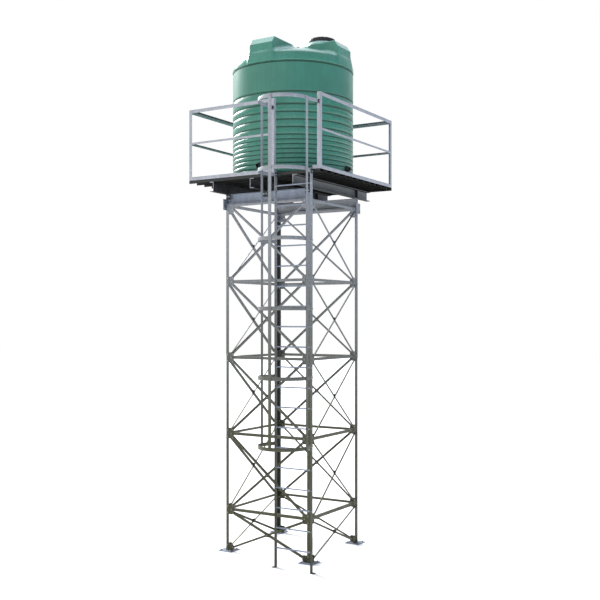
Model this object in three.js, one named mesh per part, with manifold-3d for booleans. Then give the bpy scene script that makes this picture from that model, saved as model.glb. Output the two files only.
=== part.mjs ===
// Water tower: a ribbed plastic tank on a square lattice stand of galvanised steel angles,
// with a planked platform, a handrail and a caged cat ladder.
//
// Units are millimetres and +Z is up. The origin is on the ground, under the centre of the
// whole object's box. The tower's own axis stands AXIS_Y behind it, because the ladder and
// its cage stand in front (towards -Y).

import * as THREE from 'three';
import { mergeVertices } from 'three/addons/utils/BufferGeometryUtils.js';
import Module from 'manifold-3d';

const wasm = await Module();
wasm.setup();

// ---------------------------------------------------------------- driving dimensions

const GAP = 0.3;               // clearance between pieces that touch
const WELD = 0.5;              // how far welded members bite into each other

// Stand
const TOWER_WIDTH = 1442;      // over the heels of the legs
const LEG_TOP = 5130;          // underside of the beams
const LEG_SIZE = 50;
const LEG_THICKNESS = 5;
const BASE_PLATE_SIZE = 230;
const BASE_PLATE_THICKNESS = 10;
const BASE_PLATE_INSET = 30;   // from the leg's heel to the middle of its base plate
const FIRST_LEVEL = 613;       // centre line of the lowest horizontals
const LEVEL_COUNT = 4;         // levels of horizontals below the top one
const TOP_LEVEL_DROP = 25;     // from the leg tops down to the top horizontals' centre line
const HORIZONTAL_SIZE = 40;
const HORIZONTAL_THICKNESS = 4;
const DIAGONAL_SIZE = 30;
const DIAGONAL_THICKNESS = 3;
const GUSSET_REACH = 130;      // from the leg's heel to the gusset's far edge
const GUSSET_HEIGHT = 145;
const GUSSET_THICKNESS = 6;
const GUSSET_CHAMFER = 18;     // cut off its two free corners
const GUSSET_CLEARANCE = 3;    // to the gusset of the next face, inside the leg
const BASE_GUSSET_HEIGHT = 94;
const DIAGONAL_END_X = 104;    // a diagonal's end, in from the leg's heel
const DIAGONAL_END_Z = 48;     // and above or below the horizontals' centre line
const BASE_DIAGONAL_Z = 54;    // the lowest diagonals' ends above the ground
const PACKING_SIZE = 60;       // square packing plate where two diagonals cross

// Beams and bearers under the platform
const BEAM_HEIGHT = 140;
const BEAM_WIDTH = 73;
const BEAM_WEB = 5;
const BEAM_FLANGE = 7;
const END_PLATE_HEIGHT = 160;
const END_PLATE_DROP = 90;     // how far a beam's end plate laps down over the leg
const END_PLATE_THICKNESS = 8;
const END_PLATE_OVERHANG = 65; // past the leg's heel
const END_PLATE_WIDTH = 130;
const BEARER_HEIGHT = 140;
const BEARER_WIDTH = 66;
const BEARER_WEB = 6;
const BEARER_FLANGE = 8;
const OUTER_BEARER_INSET = 50; // from the legs' heels to an outer bearer's web
const CLEAT_WIDTH = 74;
const CLEAT_REACH = 46;        // of that on the side of the bearer's flanges
const CLEAT_THICKNESS = 8;
const CLEAT_DROP = 80;         // how far a cleat reaches down over the beam

// Platform
const PLATFORM_SIZE = 2217;
const PLANKS_PER_BAY = 3;
const BAY_COUNT = 4;
const DECK_HEIGHT = 45;
const DECK_THICKNESS = 3;
const DECK_LIP = 14;
const EDGE_SIZE = 50;          // edge angles, posts and top rails are one section
const EDGE_THICKNESS = 5;
const RAIL_HEIGHT = 1035;      // top of the handrail above the deck
const MID_RAIL_HEIGHT = 540;   // middle of the mid rail above the deck
const MID_RAIL_SIZE = 30;
const MID_RAIL_THICKNESS = 4;
const GATE_CLEARANCE = 48;      // from the left stile's middle to the gate post

// Ladder and cage
const LADDER_INSET = 405.5;    // from the platform's right edge to the ladder's middle
const STILE_SPACING = 570;
const STILE_DEPTH = 60;
const STILE_THICKNESS = 8;
const RUNG_DIAMETER = 20;
const RUNG_PITCH = 277;
const RUNG_SIDES = 10;
const STILE_ABOVE_DECK = 14;
const TOP_RUNG_MARGIN = 200;   // at least this much stile above the last rung
const FOOT_LENGTH = 50;
const FOOT_THICKNESS = 8;
const HOOP_RADIUS = 353;       // outside of the hoop's round part
const HOOP_CENTRE_OUT = 236;   // from the middle of the stiles out to that round part's centre
const HOOP_THICKNESS = 6;
const HOOP_HEIGHT = 50;
const HOOP_COUNT = 5;          // up to the platform, with one more at the handrail
const FIRST_HOOP = 1717;       // above the ground
const DECK_HOOP_DROP = 37;     // of the fifth hoop's middle below the deck's top
const TOP_HOOP_DROP = 131;     // of the top hoop's middle below the handrail's top
const HOOP_TAB = 56;           // straight end that is bolted to a stile or post
const HOOP_LAP = 20;           // how far a tab laps past the middle of its stile
const HOOP_SEGMENTS = 18;
const HOOP_FOOT = 44;          // width of the top hoop's foot plates on the posts
const HOOP_FOOT_BACK = 20;     // from a foot plate's outer edge to the hoop's end
const STRAP_WIDTH = 50;
const STRAP_THICKNESS = 6;

// Tank
const TANK_RADIUS = 910;       // over the ribs
const RIB_DEPTH = 13;
const TANK_WALL = 8;
const TANK_FLOOR = 10;
const FIRST_GROOVE = 46;       // above the tank's base
const RIB_UNDERSIDE = 0.28;    // share of a rib that flares out from the groove below it
const RIB_TOPSIDE = 0.3;       // and that slopes in to the groove above it
const BASE_STEP = 4;           // foot of the wall, proud of the grooves
const CLOSE_RIBS = 8;
const CLOSE_PITCH = 67;
const WIDE_RIBS = 4;
const WIDE_PITCH = 107.5;
const SHOULDER_BAND = 184;     // the one broad rib above them
const RIM_HEIGHT = 1634;       // rim ledge above the tank's base
const RIM_BAND_INSET = 6;      // smooth band under the rim, in from the ribs
const RIM_BAND_RISE = 20;      // from the last groove to the smooth band
const ROOF_HEIGHT = 393;       // top of the dome above the rim
const BLOCK_WIDTH = 392;       // the two raised blocks on the roof
const BLOCK_SET_BACK = 30;     // outer face, in from the ribs
const BLOCK_INNER = 340;       // inner end, from the tank's axis
const BLOCK_ROOT = 40;         // height above the rim at which it starts, inside the roof
const BLOCK_HEIGHT = 364;      // above the rim
const BLOCK_BEVEL = 62;
const BLOCK_BEVEL_DROP = 89;
const NECK_SET_BACK = 410;     // manhole neck's axis, in from the ribs
const NECK_ROOT = 60;
const NECK_RADIUS = 252;
const NECK_HEIGHT = 397;       // above the rim
const NECK_TAPER = 57;         // height of the cone at its top
const NECK_TOP_RADIUS = 206;
const MANHOLE_RADIUS = 184;
const LID_RADIUS = 200;
const LID_HEIGHT = 70;
const LID_WALL = 6;
const LID_BEVEL = 14;
const LID_BEVEL_DROP = 16;
const VENT_CLEARANCE = 162;    // from the neck to the vent's middle
const VENT_RADIUS = 23;
const VENT_HEIGHT = 26;
const VENT_ROOT = 60;          // length of the plug before the roof is cut from it
const OUTLET_HEIGHT = 152;     // outlet's axis above the tank's base
const OUTLET_FLANGE_RADIUS = 52;
const OUTLET_FLANGE = 18;
const OUTLET_RADIUS = 32;
const OUTLET_BORE = 25;
const OUTLET_LENGTH = 58;
const TANK_SEGMENTS = 48;
const NECK_SEGMENTS = 40;
const OUTLET_SEGMENTS = 24;
const VENT_SEGMENTS = 20;

// ---------------------------------------------------------------- worked out from them

const HALF_TOWER = TOWER_WIDTH / 2;
const HALF_PLATFORM = PLATFORM_SIZE / 2;
const STILE_OUT = HALF_PLATFORM + GAP + STILE_DEPTH / 2;       // tower's axis to the stiles
const LADDER_X = HALF_PLATFORM - LADDER_INSET;                 // tower's axis to the ladder's
const GATE_LEFT = LADDER_X - STILE_SPACING / 2 - GATE_CLEARANCE;
const HOOP_OUT = STILE_OUT + HOOP_CENTRE_OUT;
const FRONT_REACH = HOOP_OUT + HOOP_RADIUS + GAP + STRAP_THICKNESS;
const AXIS_Y = (FRONT_REACH - HALF_PLATFORM) / 2;
const LEG_FOOT = BASE_PLATE_THICKNESS + GAP;
const GUSSET_FACE = LEG_THICKNESS + GAP;                       // gusset's outer face, from the heel
const GUSSET_BACK = GUSSET_FACE + GUSSET_THICKNESS;
const GUSSET_START = GUSSET_BACK + GUSSET_CLEARANCE;
const TOP_LEVEL = LEG_TOP - TOP_LEVEL_DROP;
const PANEL_HEIGHT = (TOP_LEVEL - FIRST_LEVEL) / LEVEL_COUNT;
const OUTER_BEARER_X = HALF_TOWER - OUTER_BEARER_INSET;
const BEAM_BOTTOM = LEG_TOP + GAP;
const BEAM_TOP = BEAM_BOTTOM + BEAM_HEIGHT;
const BEARER_BOTTOM = BEAM_TOP + GAP;
const BEARER_TOP = BEARER_BOTTOM + BEARER_HEIGHT;
const DECK_BOTTOM = BEARER_TOP + GAP;
const DECK_TOP = DECK_BOTTOM + DECK_HEIGHT;
const POST_FOOT = DECK_TOP + GAP;
const RAIL_TOP = DECK_TOP + RAIL_HEIGHT;
const STILE_TOP = DECK_TOP + STILE_ABOVE_DECK;
const RUNG_COUNT = Math.floor((STILE_TOP - TOP_RUNG_MARGIN) / RUNG_PITCH);
const DECK_HOOP_LEVEL = DECK_TOP - DECK_HOOP_DROP;
const HOOP_PITCH = (DECK_HOOP_LEVEL - FIRST_HOOP) / (HOOP_COUNT - 1);
const HOOP_LEVELS = Array.from({ length: HOOP_COUNT }, (_, i) => FIRST_HOOP + i * HOOP_PITCH);
const TOP_HOOP_LEVEL = RAIL_TOP - TOP_HOOP_DROP;
const TANK_BASE = DECK_TOP + GAP;
const RIM = TANK_BASE + RIM_HEIGHT;
const GROOVE_RADIUS = TANK_RADIUS - RIB_DEPTH;
const TANK_INSIDE = GROOVE_RADIUS - TANK_WALL;
const BLOCK_OUTER = TANK_RADIUS - BLOCK_SET_BACK;
const NECK_OUT = TANK_RADIUS - NECK_SET_BACK;
const VENT_OUT = NECK_OUT - NECK_RADIUS - VENT_CLEARANCE;

// ---------------------------------------------------------------- materials

const galvanised = new THREE.MeshStandardMaterial({ color: '#a4a8ad', roughness: 0.5, metalness: 0.7 });
const greenPlastic = new THREE.MeshStandardMaterial({ color: '#478070', roughness: 0.42 });
const blackPlastic = new THREE.MeshStandardMaterial({ color: '#1d1f20', roughness: 0.5 });

// ---------------------------------------------------------------- shape helpers

const vec = (x, y, z) => new THREE.Vector3(x, y, z);
const X = vec(1, 0, 0);
const Y = vec(0, 1, 0);
const Z = vec(0, 0, 1);

// Outline of an angle section: heel at the origin, legs along +x and +y.
function angleSection(size, thickness) {
  return [
    [0, 0], [size, 0], [size, thickness],
    [thickness, thickness], [thickness, size], [0, size],
  ];
}

// Outline of an I section centred on the origin, its web along y.
function beamSection(width, height, web, flange) {
  const [x, y, w, f] = [width / 2, height / 2, web / 2, height / 2 - flange];
  return [
    [-x, -y], [x, -y], [x, -f], [w, -f], [w, f], [x, f],
    [x, y], [-x, y], [-x, f], [-w, f], [-w, -f], [-x, -f],
  ];
}

// Outline of a channel: back of the web on x = 0, flanges along +x, bottom at y = 0.
function channelSection(width, height, web, flange) {
  return [
    [0, 0], [width, 0], [width, flange], [web, flange],
    [web, height - flange], [width, height - flange], [width, height], [0, height],
  ];
}

function shapeOf(outline) {
  return new THREE.Shape(outline.map(([x, y]) => new THREE.Vector2(x, y)));
}

function extrude(outline, depth) {
  return new THREE.ExtrudeGeometry(shapeOf(outline), { depth, bevelEnabled: false });
}

// A straight member from p to q. The section's x and y lie along xDir and yDir, which are
// square to each other and to the member.
function member(outline, xDir, yDir, p, q) {
  const along = new THREE.Vector3().crossVectors(xDir, yDir);
  const span = q.clone().sub(p);
  const start = span.dot(along) > 0 ? p : q;
  const basis = new THREE.Matrix4().makeBasis(xDir, yDir, along).setPosition(start);
  return extrude(outline, span.length()).applyMatrix4(basis);
}

function block(x0, x1, y0, y1, z0, z1) {
  const box = new THREE.BoxGeometry(x1 - x0, y1 - y0, z1 - z0);
  return box.translate((x0 + x1) / 2, (y0 + y1) / 2, (z0 + z1) / 2);
}

// A lathe about Z: profile is a closed outline of [radius, z].
function lathe(profile, segments = TANK_SEGMENTS) {
  const points = profile.map(([r, z]) => new THREE.Vector2(r, z));
  return new THREE.LatheGeometry(points, segments).rotateX(Math.PI / 2);
}

// A cylinder from one height to another about Z.
function drum(radius, z0, z1, segments = TANK_SEGMENTS) {
  return lathe([[0, z0], [radius, z0], [radius, z1], [0, z1]], segments);
}

function solid(geometry) {
  const bare = geometry.clone();
  bare.deleteAttribute('normal');
  bare.deleteAttribute('uv');
  const merged = mergeVertices(bare, 1e-3);
  const mesh = new wasm.Mesh({
    numProp: 3,
    vertProperties: new Float32Array(merged.attributes.position.array),
    triVerts: new Uint32Array(merged.index.array),
  });
  return new wasm.Manifold(mesh);
}

function join(geometries) {
  return geometries.map(solid).reduce((whole, next) => whole.add(next));
}

function geometryOf(manifold) {
  const mesh = manifold.getMesh();
  const geometry = new THREE.BufferGeometry();
  geometry.setAttribute('position', new THREE.BufferAttribute(mesh.vertProperties, 3));
  geometry.setIndex(new THREE.BufferAttribute(mesh.triVerts, 1));
  return geometry;
}

// ---------------------------------------------------------------- the scene graph

const tower = new THREE.Group();
const onAxis = new THREE.Group();       // everything is placed from the tower's own axis
onAxis.position.set(0, AXIS_Y, 0);
tower.add(onAxis);

function place(name, shape, material, turn = 0) {
  const geometry = shape.isBufferGeometry ? shape : geometryOf(shape);
  const mesh = new THREE.Mesh(geometry, material);
  mesh.name = name;
  mesh.rotation.z = turn;
  onAxis.add(mesh);
}

const QUARTER = Math.PI / 2;

// ---------------------------------------------------------------- stand

// One leg, at the front left corner, with its heel outwards.
function leg() {
  const heel = vec(-HALF_TOWER, -HALF_TOWER, LEG_FOOT);
  const section = angleSection(LEG_SIZE, LEG_THICKNESS);
  return member(section, X, Y, heel, vec(-HALF_TOWER, -HALF_TOWER, LEG_TOP));
}

function basePlate() {
  const middle = -HALF_TOWER + BASE_PLATE_INSET;
  const [low, high] = [middle - BASE_PLATE_SIZE / 2, middle + BASE_PLATE_SIZE / 2];
  return block(low, high, low, high, 0, BASE_PLATE_THICKNESS);
}

// A pair of gusset plates, one at each leg of a side, with their two free corners cut off.
function gussetPair(z0, z1) {
  const [near, far, cut] = [HALF_TOWER - GUSSET_START, HALF_TOWER - GUSSET_REACH, GUSSET_CHAMFER];
  const right = [
    [near, z0], [near, z1], [far + cut, z1], [far, z1 - cut], [far, z0 + cut], [far + cut, z0],
  ];
  const left = right.map(([x, z]) => [-x, z]).reverse();
  return [left, right].map((outline) => member(
    outline, X, Z, vec(0, GUSSET_FACE, 0), vec(0, GUSSET_BACK, 0)));
}

// A horizontal angle on the inner faces of the gussets, one leg lying flat on top.
function horizontal(level) {
  const end = HALF_TOWER - GUSSET_BACK - HORIZONTAL_SIZE - 2 * GAP;
  const heelY = GUSSET_BACK - WELD;
  const heelZ = level + HORIZONTAL_SIZE / 2;
  const section = angleSection(HORIZONTAL_SIZE, HORIZONTAL_THICKNESS);
  return member(section, Y, Z.clone().negate(), vec(-end, heelY, heelZ), vec(end, heelY, heelZ));
}

// A diagonal angle, flat against the gussets' outer face (side -1) or inner face (side 1).
function diagonal(x0, z0, x1, z1, side) {
  const along = vec(x1 - x0, 0, z1 - z0).normalize();
  const out = Y.clone().multiplyScalar(side);
  const across = new THREE.Vector3().crossVectors(out, along);
  const flat = side < 0 ? GUSSET_FACE + WELD : GUSSET_BACK - WELD;
  const section = angleSection(DIAGONAL_SIZE, DIAGONAL_THICKNESS)
    .map(([x, y]) => [x - DIAGONAL_SIZE / 2, y]);
  return member(section, across, out, vec(x0, flat, z0), vec(x1, flat, z1));
}

// Two crossed diagonals between two heights, with a packing plate where they cross.
function crossedPair(z0, z1) {
  const end = HALF_TOWER - DIAGONAL_END_X;
  const half = PACKING_SIZE / 2;
  const middle = (z0 + z1) / 2;
  return [
    diagonal(-end, z0, end, z1, -1),
    diagonal(end, z0, -end, z1, 1),
    block(-half, half, GUSSET_FACE, GUSSET_BACK, middle - half, middle + half),
  ];
}

// All the bracing of one side, in a plane frame: the legs' outer face is y = 0 and y points
// into the tower.
function sideBracing() {
  const levels = Array.from({ length: LEVEL_COUNT }, (_, i) => FIRST_LEVEL + i * PANEL_HEIGHT);
  const halfGusset = GUSSET_HEIGHT / 2;
  const pieces = [
    ...gussetPair(LEG_FOOT, LEG_FOOT + BASE_GUSSET_HEIGHT),
    ...gussetPair(LEG_TOP - GUSSET_HEIGHT, LEG_TOP - GAP),
    horizontal(TOP_LEVEL),
  ];
  let below = BASE_DIAGONAL_Z;
  for (const level of levels) {
    pieces.push(...gussetPair(level - halfGusset, level + halfGusset), horizontal(level));
    pieces.push(...crossedPair(below, level - DIAGONAL_END_Z));
    below = level + DIAGONAL_END_Z;
  }
  pieces.push(...crossedPair(below, TOP_LEVEL - DIAGONAL_END_Z));
  return join(pieces).translate([0, -HALF_TOWER, 0]);
}

const cornerNames = ['front_left', 'front_right', 'rear_right', 'rear_left'];
cornerNames.forEach((corner, i) => {
  place(`leg_${corner}`, leg(), galvanised, i * QUARTER);
  place(`base_plate_${corner}`, basePlate(), galvanised, i * QUARTER);
});

const bracing = sideBracing();
['front', 'right', 'rear', 'left'].forEach((side, i) => {
  place(`bracing_${side}`, bracing, galvanised, i * QUARTER);
});

// ---------------------------------------------------------------- beams and bearers

// An I beam across two legs, with an end plate at each end that laps over the leg.
function beam() {
  const middle = -(HALF_TOWER - BEAM_WIDTH / 2);
  const heart = BEAM_BOTTOM + BEAM_HEIGHT / 2;
  const end = HALF_TOWER + GAP;
  const section = beamSection(BEAM_WIDTH, BEAM_HEIGHT, BEAM_WEB, BEAM_FLANGE);
  const rail = member(section, Y, Z, vec(-end - WELD, middle, heart), vec(end + WELD, middle, heart));
  const y0 = -HALF_TOWER - END_PLATE_OVERHANG;
  const z0 = LEG_TOP - END_PLATE_DROP;
  const plates = [-end - END_PLATE_THICKNESS, end].map((x) => block(
    x, x + END_PLATE_THICKNESS, y0, y0 + END_PLATE_WIDTH, z0, z0 + END_PLATE_HEIGHT));
  return join([rail, ...plates]);
}

// A channel along the platform, with a cleat that laps over the face of each beam.
// facing is +1 or -1: the way that its flanges point.
function bearer(webX, facing) {
  const section = channelSection(BEARER_WIDTH, BEARER_HEIGHT, BEARER_WEB, BEARER_FLANGE);
  const channel = member(
    facing > 0 ? section : section.map(([x, y]) => [-x, y]).reverse(), X, Z,
    vec(webX, -HALF_PLATFORM, BEARER_BOTTOM), vec(webX, HALF_PLATFORM, BEARER_BOTTOM));
  const low = facing > 0 ? webX + CLEAT_REACH - CLEAT_WIDTH : webX - CLEAT_REACH;
  const cleatY = HALF_TOWER + GAP;
  const cleats = [-cleatY - CLEAT_THICKNESS, cleatY].map((y) => block(
    low, low + CLEAT_WIDTH, y, y + CLEAT_THICKNESS,
    BEARER_BOTTOM - CLEAT_DROP, BEARER_TOP - BEARER_FLANGE / 2));
  return join([channel, ...cleats]);
}

place('beam_front', beam(), galvanised);
place('beam_rear', beam(), galvanised, 2 * QUARTER);
place('bearer_left', bearer(-OUTER_BEARER_X, -1), galvanised);
place('bearer_middle', bearer(-BEARER_WIDTH / 2, 1), galvanised);
place('bearer_right', bearer(OUTER_BEARER_X, 1), galvanised);

// ---------------------------------------------------------------- platform

// Outline of one bay of planks, in y and z: C sections side by side, open downwards.
function bayOutline() {
  const width = PLATFORM_SIZE / BAY_COUNT - 2 * GAP;
  const pitch = width / PLANKS_PER_BAY;
  const [t, lip] = [DECK_THICKNESS, DECK_LIP];
  const outline = [[width, DECK_HEIGHT], [0, DECK_HEIGHT]];
  for (let i = 0; i < PLANKS_PER_BAY; i += 1) {
    const [left, right] = [i * pitch, (i + 1) * pitch];
    outline.push(
      [left, 0], [left + lip, 0], [left + lip, t], [left + t, t],
      [left + t, DECK_HEIGHT - t], [right - t, DECK_HEIGHT - t],
      [right - t, t], [right - lip, t], [right - lip, 0]);
  }
  outline.push([width, 0]);
  return outline;
}

function deckBay(index) {
  const y = -HALF_PLATFORM + index * (PLATFORM_SIZE / BAY_COUNT) + GAP;
  return member(bayOutline(), Y, Z,
    vec(-HALF_PLATFORM, y, DECK_BOTTOM), vec(HALF_PLATFORM, y, DECK_BOTTOM));
}

for (let i = 0; i < BAY_COUNT; i += 1) {
  place(`deck_bay_${i + 1}`, deckBay(i), galvanised);
}

const edgeSection = angleSection(EDGE_SIZE, EDGE_THICKNESS);
const midSection = angleSection(MID_RAIL_SIZE, MID_RAIL_THICKNESS);
const CORNER = HALF_PLATFORM - EDGE_SIZE - GAP;          // ends of the rails between two posts
const GATE_POST_LEFT = GATE_LEFT - EDGE_SIZE - GAP;
const GATE_RIGHT = CORNER;                               // the corner post is its other side

// Straight pieces along one side of the platform, between two places x0 and x1 along it.
// They are made along the front and then turned to their side.
const sides = {
  edge: (x0, x1) => member(edgeSection, Y, Z,
    vec(x0, -HALF_PLATFORM, POST_FOOT), vec(x1, -HALF_PLATFORM, POST_FOOT)),
  top: (x0, x1) => member(edgeSection, Y, Z.clone().negate(),
    vec(x0, -HALF_PLATFORM, RAIL_TOP), vec(x1, -HALF_PLATFORM, RAIL_TOP)),
  mid: (x0, x1) => {
    const z = DECK_TOP + MID_RAIL_HEIGHT + MID_RAIL_SIZE / 2;
    return member(midSection, Y, Z.clone().negate(),
      vec(x0, -HALF_PLATFORM, z), vec(x1, -HALF_PLATFORM, z));
  },
};

place('edge_angle_front', sides.edge(-CORNER, GATE_POST_LEFT), galvanised);
place('edge_angle_gate', sides.edge(LADDER_X + STILE_SPACING / 2, CORNER), galvanised);
place('top_rail_front', sides.top(-CORNER, GATE_POST_LEFT), galvanised);
place('mid_rail_front', sides.mid(-CORNER, GATE_POST_LEFT), galvanised);
['right', 'rear', 'left'].forEach((side, i) => {
  const turn = (i + 1) * QUARTER;
  place(`edge_angle_${side}`, sides.edge(-CORNER, CORNER), galvanised, turn);
  place(`top_rail_${side}`, sides.top(-CORNER, CORNER), galvanised, turn);
  place(`mid_rail_${side}`, sides.mid(-CORNER, CORNER), galvanised, turn);
});

// A corner post with its heel outwards and a small cap over its top.
function cornerPost() {
  const post = member(edgeSection, X, Y,
    vec(-HALF_PLATFORM, -HALF_PLATFORM, POST_FOOT), vec(-HALF_PLATFORM, -HALF_PLATFORM, RAIL_TOP));
  const [low, high] = [-HALF_PLATFORM + WELD, -HALF_PLATFORM + EDGE_SIZE];
  return join([post, block(low, high, low, high, RAIL_TOP - EDGE_THICKNESS, RAIL_TOP)]);
}

cornerNames.forEach((corner, i) => {
  place(`post_${corner}`, cornerPost(), galvanised, i * QUARTER);
});

// The gate post ends the front rails: its heel is at the gate.
place('post_gate', member(edgeSection.map(([x, y]) => [-x, y]).reverse(), X, Y,
  vec(GATE_LEFT, -HALF_PLATFORM, POST_FOOT), vec(GATE_LEFT, -HALF_PLATFORM, RAIL_TOP)), galvanised);

// ---------------------------------------------------------------- ladder and cage

// Two flat stiles with round rungs through them and a foot plate turned out under each.
function ladder() {
  const pieces = [];
  const half = STILE_SPACING / 2;
  for (const side of [-1, 1]) {
    const x = LADDER_X + side * half;
    const y0 = -STILE_OUT - STILE_DEPTH / 2;
    pieces.push(block(x - STILE_THICKNESS / 2, x + STILE_THICKNESS / 2,
      y0, y0 + STILE_DEPTH, 0, STILE_TOP));
    const outer = x + side * (STILE_THICKNESS / 2 + FOOT_LENGTH);
    pieces.push(block(Math.min(x, outer), Math.max(x, outer),
      y0, y0 + STILE_DEPTH, 0, FOOT_THICKNESS));
  }
  for (let i = 1; i <= RUNG_COUNT; i += 1) {
    const rung = new THREE.CylinderGeometry(
      RUNG_DIAMETER / 2, RUNG_DIAMETER / 2, STILE_SPACING, RUNG_SIDES);
    pieces.push(rung.rotateZ(QUARTER).translate(LADDER_X, -STILE_OUT, i * RUNG_PITCH));
  }
  return join(pieces);
}

// A hoop of flat bar in plan: a tab on each side, a splayed arm and a half circle in front.
// tabLeft and tabRight are the outer sides of the tabs from the ladder's middle, and tabY is
// their inner end. Beside the straps the bar is straight, so that they lie flat on it.
function hoop(tabLeft, tabRight, tabY, level) {
  const arcPoints = (radius) => new THREE.EllipseCurve(
    0, -HOOP_OUT, radius, radius, 0, Math.PI, true)
    .getPoints(HOOP_SEGMENTS).map((p) => [p.x, p.y]);
  const inner = HOOP_THICKNESS;
  const seat = -HOOP_OUT + STRAP_WIDTH / 2 + GAP;
  const outline = [
    [tabRight, tabY], [tabRight, tabY - HOOP_TAB], [HOOP_RADIUS, seat],
    ...arcPoints(HOOP_RADIUS),
    [-HOOP_RADIUS, seat], [-tabLeft, tabY - HOOP_TAB], [-tabLeft, tabY],
    [-tabLeft + inner, tabY], [-tabLeft + inner, tabY - HOOP_TAB], [-HOOP_RADIUS + inner, seat],
    ...arcPoints(HOOP_RADIUS - inner).reverse(),
    [HOOP_RADIUS - inner, seat], [tabRight - inner, tabY - HOOP_TAB], [tabRight - inner, tabY],
  ].reverse();
  return extrude(outline, HOOP_HEIGHT).translate(LADDER_X, 0, level - HOOP_HEIGHT / 2);
}

const TAB_OUTER = STILE_SPACING / 2 + STILE_THICKNESS / 2 + GAP + HOOP_THICKNESS;
HOOP_LEVELS.forEach((level, i) => {
  place(`cage_hoop_${i + 1}`, hoop(TAB_OUTER, TAB_OUTER, -STILE_OUT + HOOP_LAP, level), galvanised);
});

// The top hoop butts on the faces of the two posts beside the gate, with a foot plate on each.
function topHoop() {
  const tabY = -HALF_PLATFORM - GAP;
  const left = GATE_LEFT - HOOP_FOOT;
  const right = GATE_RIGHT + HOOP_FOOT;
  const feet = [[left, GATE_LEFT], [GATE_RIGHT + GAP, right]].map(([x0, x1]) => block(
    x0, x1, tabY - HOOP_THICKNESS, tabY, TOP_HOOP_LEVEL - HOOP_HEIGHT / 2,
    TOP_HOOP_LEVEL + HOOP_HEIGHT / 2));
  const bar = hoop(LADDER_X - left - HOOP_FOOT_BACK, right - HOOP_FOOT_BACK - LADDER_X,
    tabY, TOP_HOOP_LEVEL);
  return join([bar, ...feet]);
}

place('cage_hoop_top', topHoop(), galvanised);

// Three flat straps down the outside of the hoops.
const STRAP_BOTTOM = HOOP_LEVELS[0] - HOOP_HEIGHT / 2;
const STRAP_TOP = TOP_HOOP_LEVEL + HOOP_HEIGHT / 2;
const strapIn = HOOP_RADIUS + GAP;
const strapOut = strapIn + STRAP_THICKNESS;
const halfStrap = STRAP_WIDTH / 2;
place('cage_strap_front', block(LADDER_X - halfStrap, LADDER_X + halfStrap,
  -HOOP_OUT - strapOut, -HOOP_OUT - strapIn, STRAP_BOTTOM, STRAP_TOP), galvanised);
place('cage_strap_right', block(LADDER_X + strapIn, LADDER_X + strapOut,
  -HOOP_OUT - halfStrap, -HOOP_OUT + halfStrap, STRAP_BOTTOM, STRAP_TOP), galvanised);
place('cage_strap_left', block(LADDER_X - strapOut, LADDER_X - strapIn,
  -HOOP_OUT - halfStrap, -HOOP_OUT + halfStrap, STRAP_BOTTOM, STRAP_TOP), galvanised);
place('ladder', ladder(), galvanised);

// ---------------------------------------------------------------- tank

// Heights of the grooves between the ribs, from the lowest up.
function grooveHeights() {
  const heights = [TANK_BASE + FIRST_GROOVE];
  const steps = [
    ...Array(CLOSE_RIBS).fill(CLOSE_PITCH), ...Array(WIDE_RIBS).fill(WIDE_PITCH), SHOULDER_BAND,
  ];
  for (const step of steps) heights.push(heights.at(-1) + step);
  return heights;
}

// The ribbed wall: each groove has a short underside above it and a long slope below.
function tankWall() {
  const profile = [[TANK_INSIDE, TANK_BASE], [GROOVE_RADIUS + BASE_STEP, TANK_BASE]];
  let below = TANK_BASE;
  for (const groove of grooveHeights()) {
    const rib = groove - below;
    profile.push([TANK_RADIUS, below + RIB_UNDERSIDE * rib],
      [TANK_RADIUS, groove - RIB_TOPSIDE * rib], [GROOVE_RADIUS, groove]);
    below = groove;
  }
  const band = TANK_RADIUS - RIM_BAND_INSET;
  profile.push([band, below + RIM_BAND_RISE], [band, RIM - GAP], [TANK_INSIDE, RIM - GAP],
    profile[0]);
  return lathe(profile);
}

// Roof profile of [radius, height above the rim]: a rounded shoulder, given in from the ribs,
// then a dome, given as shares of the shoulder's radius and of the roof's height.
const shoulder = [[4, 0], [0, 12], [6, 74], [30, 128], [76, 164]];
const dome = [
  [0.911, 0.483], [0.815, 0.552], [0.719, 0.621], [0.624, 0.687], [0.516, 0.761],
  [0.384, 0.858], [0.192, 0.964], [0, 1],
];
const domeRadius = TANK_RADIUS - shoulder.at(-1)[0];
const roofProfile = [
  ...shoulder.map(([inset, z]) => [TANK_RADIUS - inset, z]),
  ...dome.map(([r, z]) => [r * domeRadius, z * ROOF_HEIGHT]),
];

function roofBody(inset, lift = 0) {
  const profile = roofProfile.map(([r, z]) => [Math.max(r - inset, 0), RIM + z - inset + lift]);
  return solid(lathe([[0, RIM - inset + lift], ...profile]));
}

// A raised block running out from the roof along +X.
function roofBlock(inset) {
  const [out, high] = [BLOCK_OUTER - inset, RIM + BLOCK_HEIGHT - inset];
  const outline = [
    [BLOCK_INNER + inset, RIM + BLOCK_ROOT], [out, RIM + BLOCK_ROOT],
    [out, high - BLOCK_BEVEL_DROP],
    [out - BLOCK_BEVEL, high], [BLOCK_INNER + inset, high],
  ];
  const half = BLOCK_WIDTH / 2 - inset;
  return solid(member(outline, X, Z, vec(0, -half, 0), vec(0, half, 0)));
}

// The manhole neck: a drum that narrows to the lid.
function neck(inset) {
  const top = RIM + NECK_HEIGHT - inset;
  const profile = [
    [0, RIM + NECK_ROOT], [NECK_RADIUS - inset, RIM + NECK_ROOT],
    [NECK_RADIUS - inset, top - NECK_TAPER], [NECK_TOP_RADIUS - inset, top], [0, top],
  ];
  return solid(lathe(profile, NECK_SEGMENTS).translate(NECK_OUT, 0, 0));
}

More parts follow.
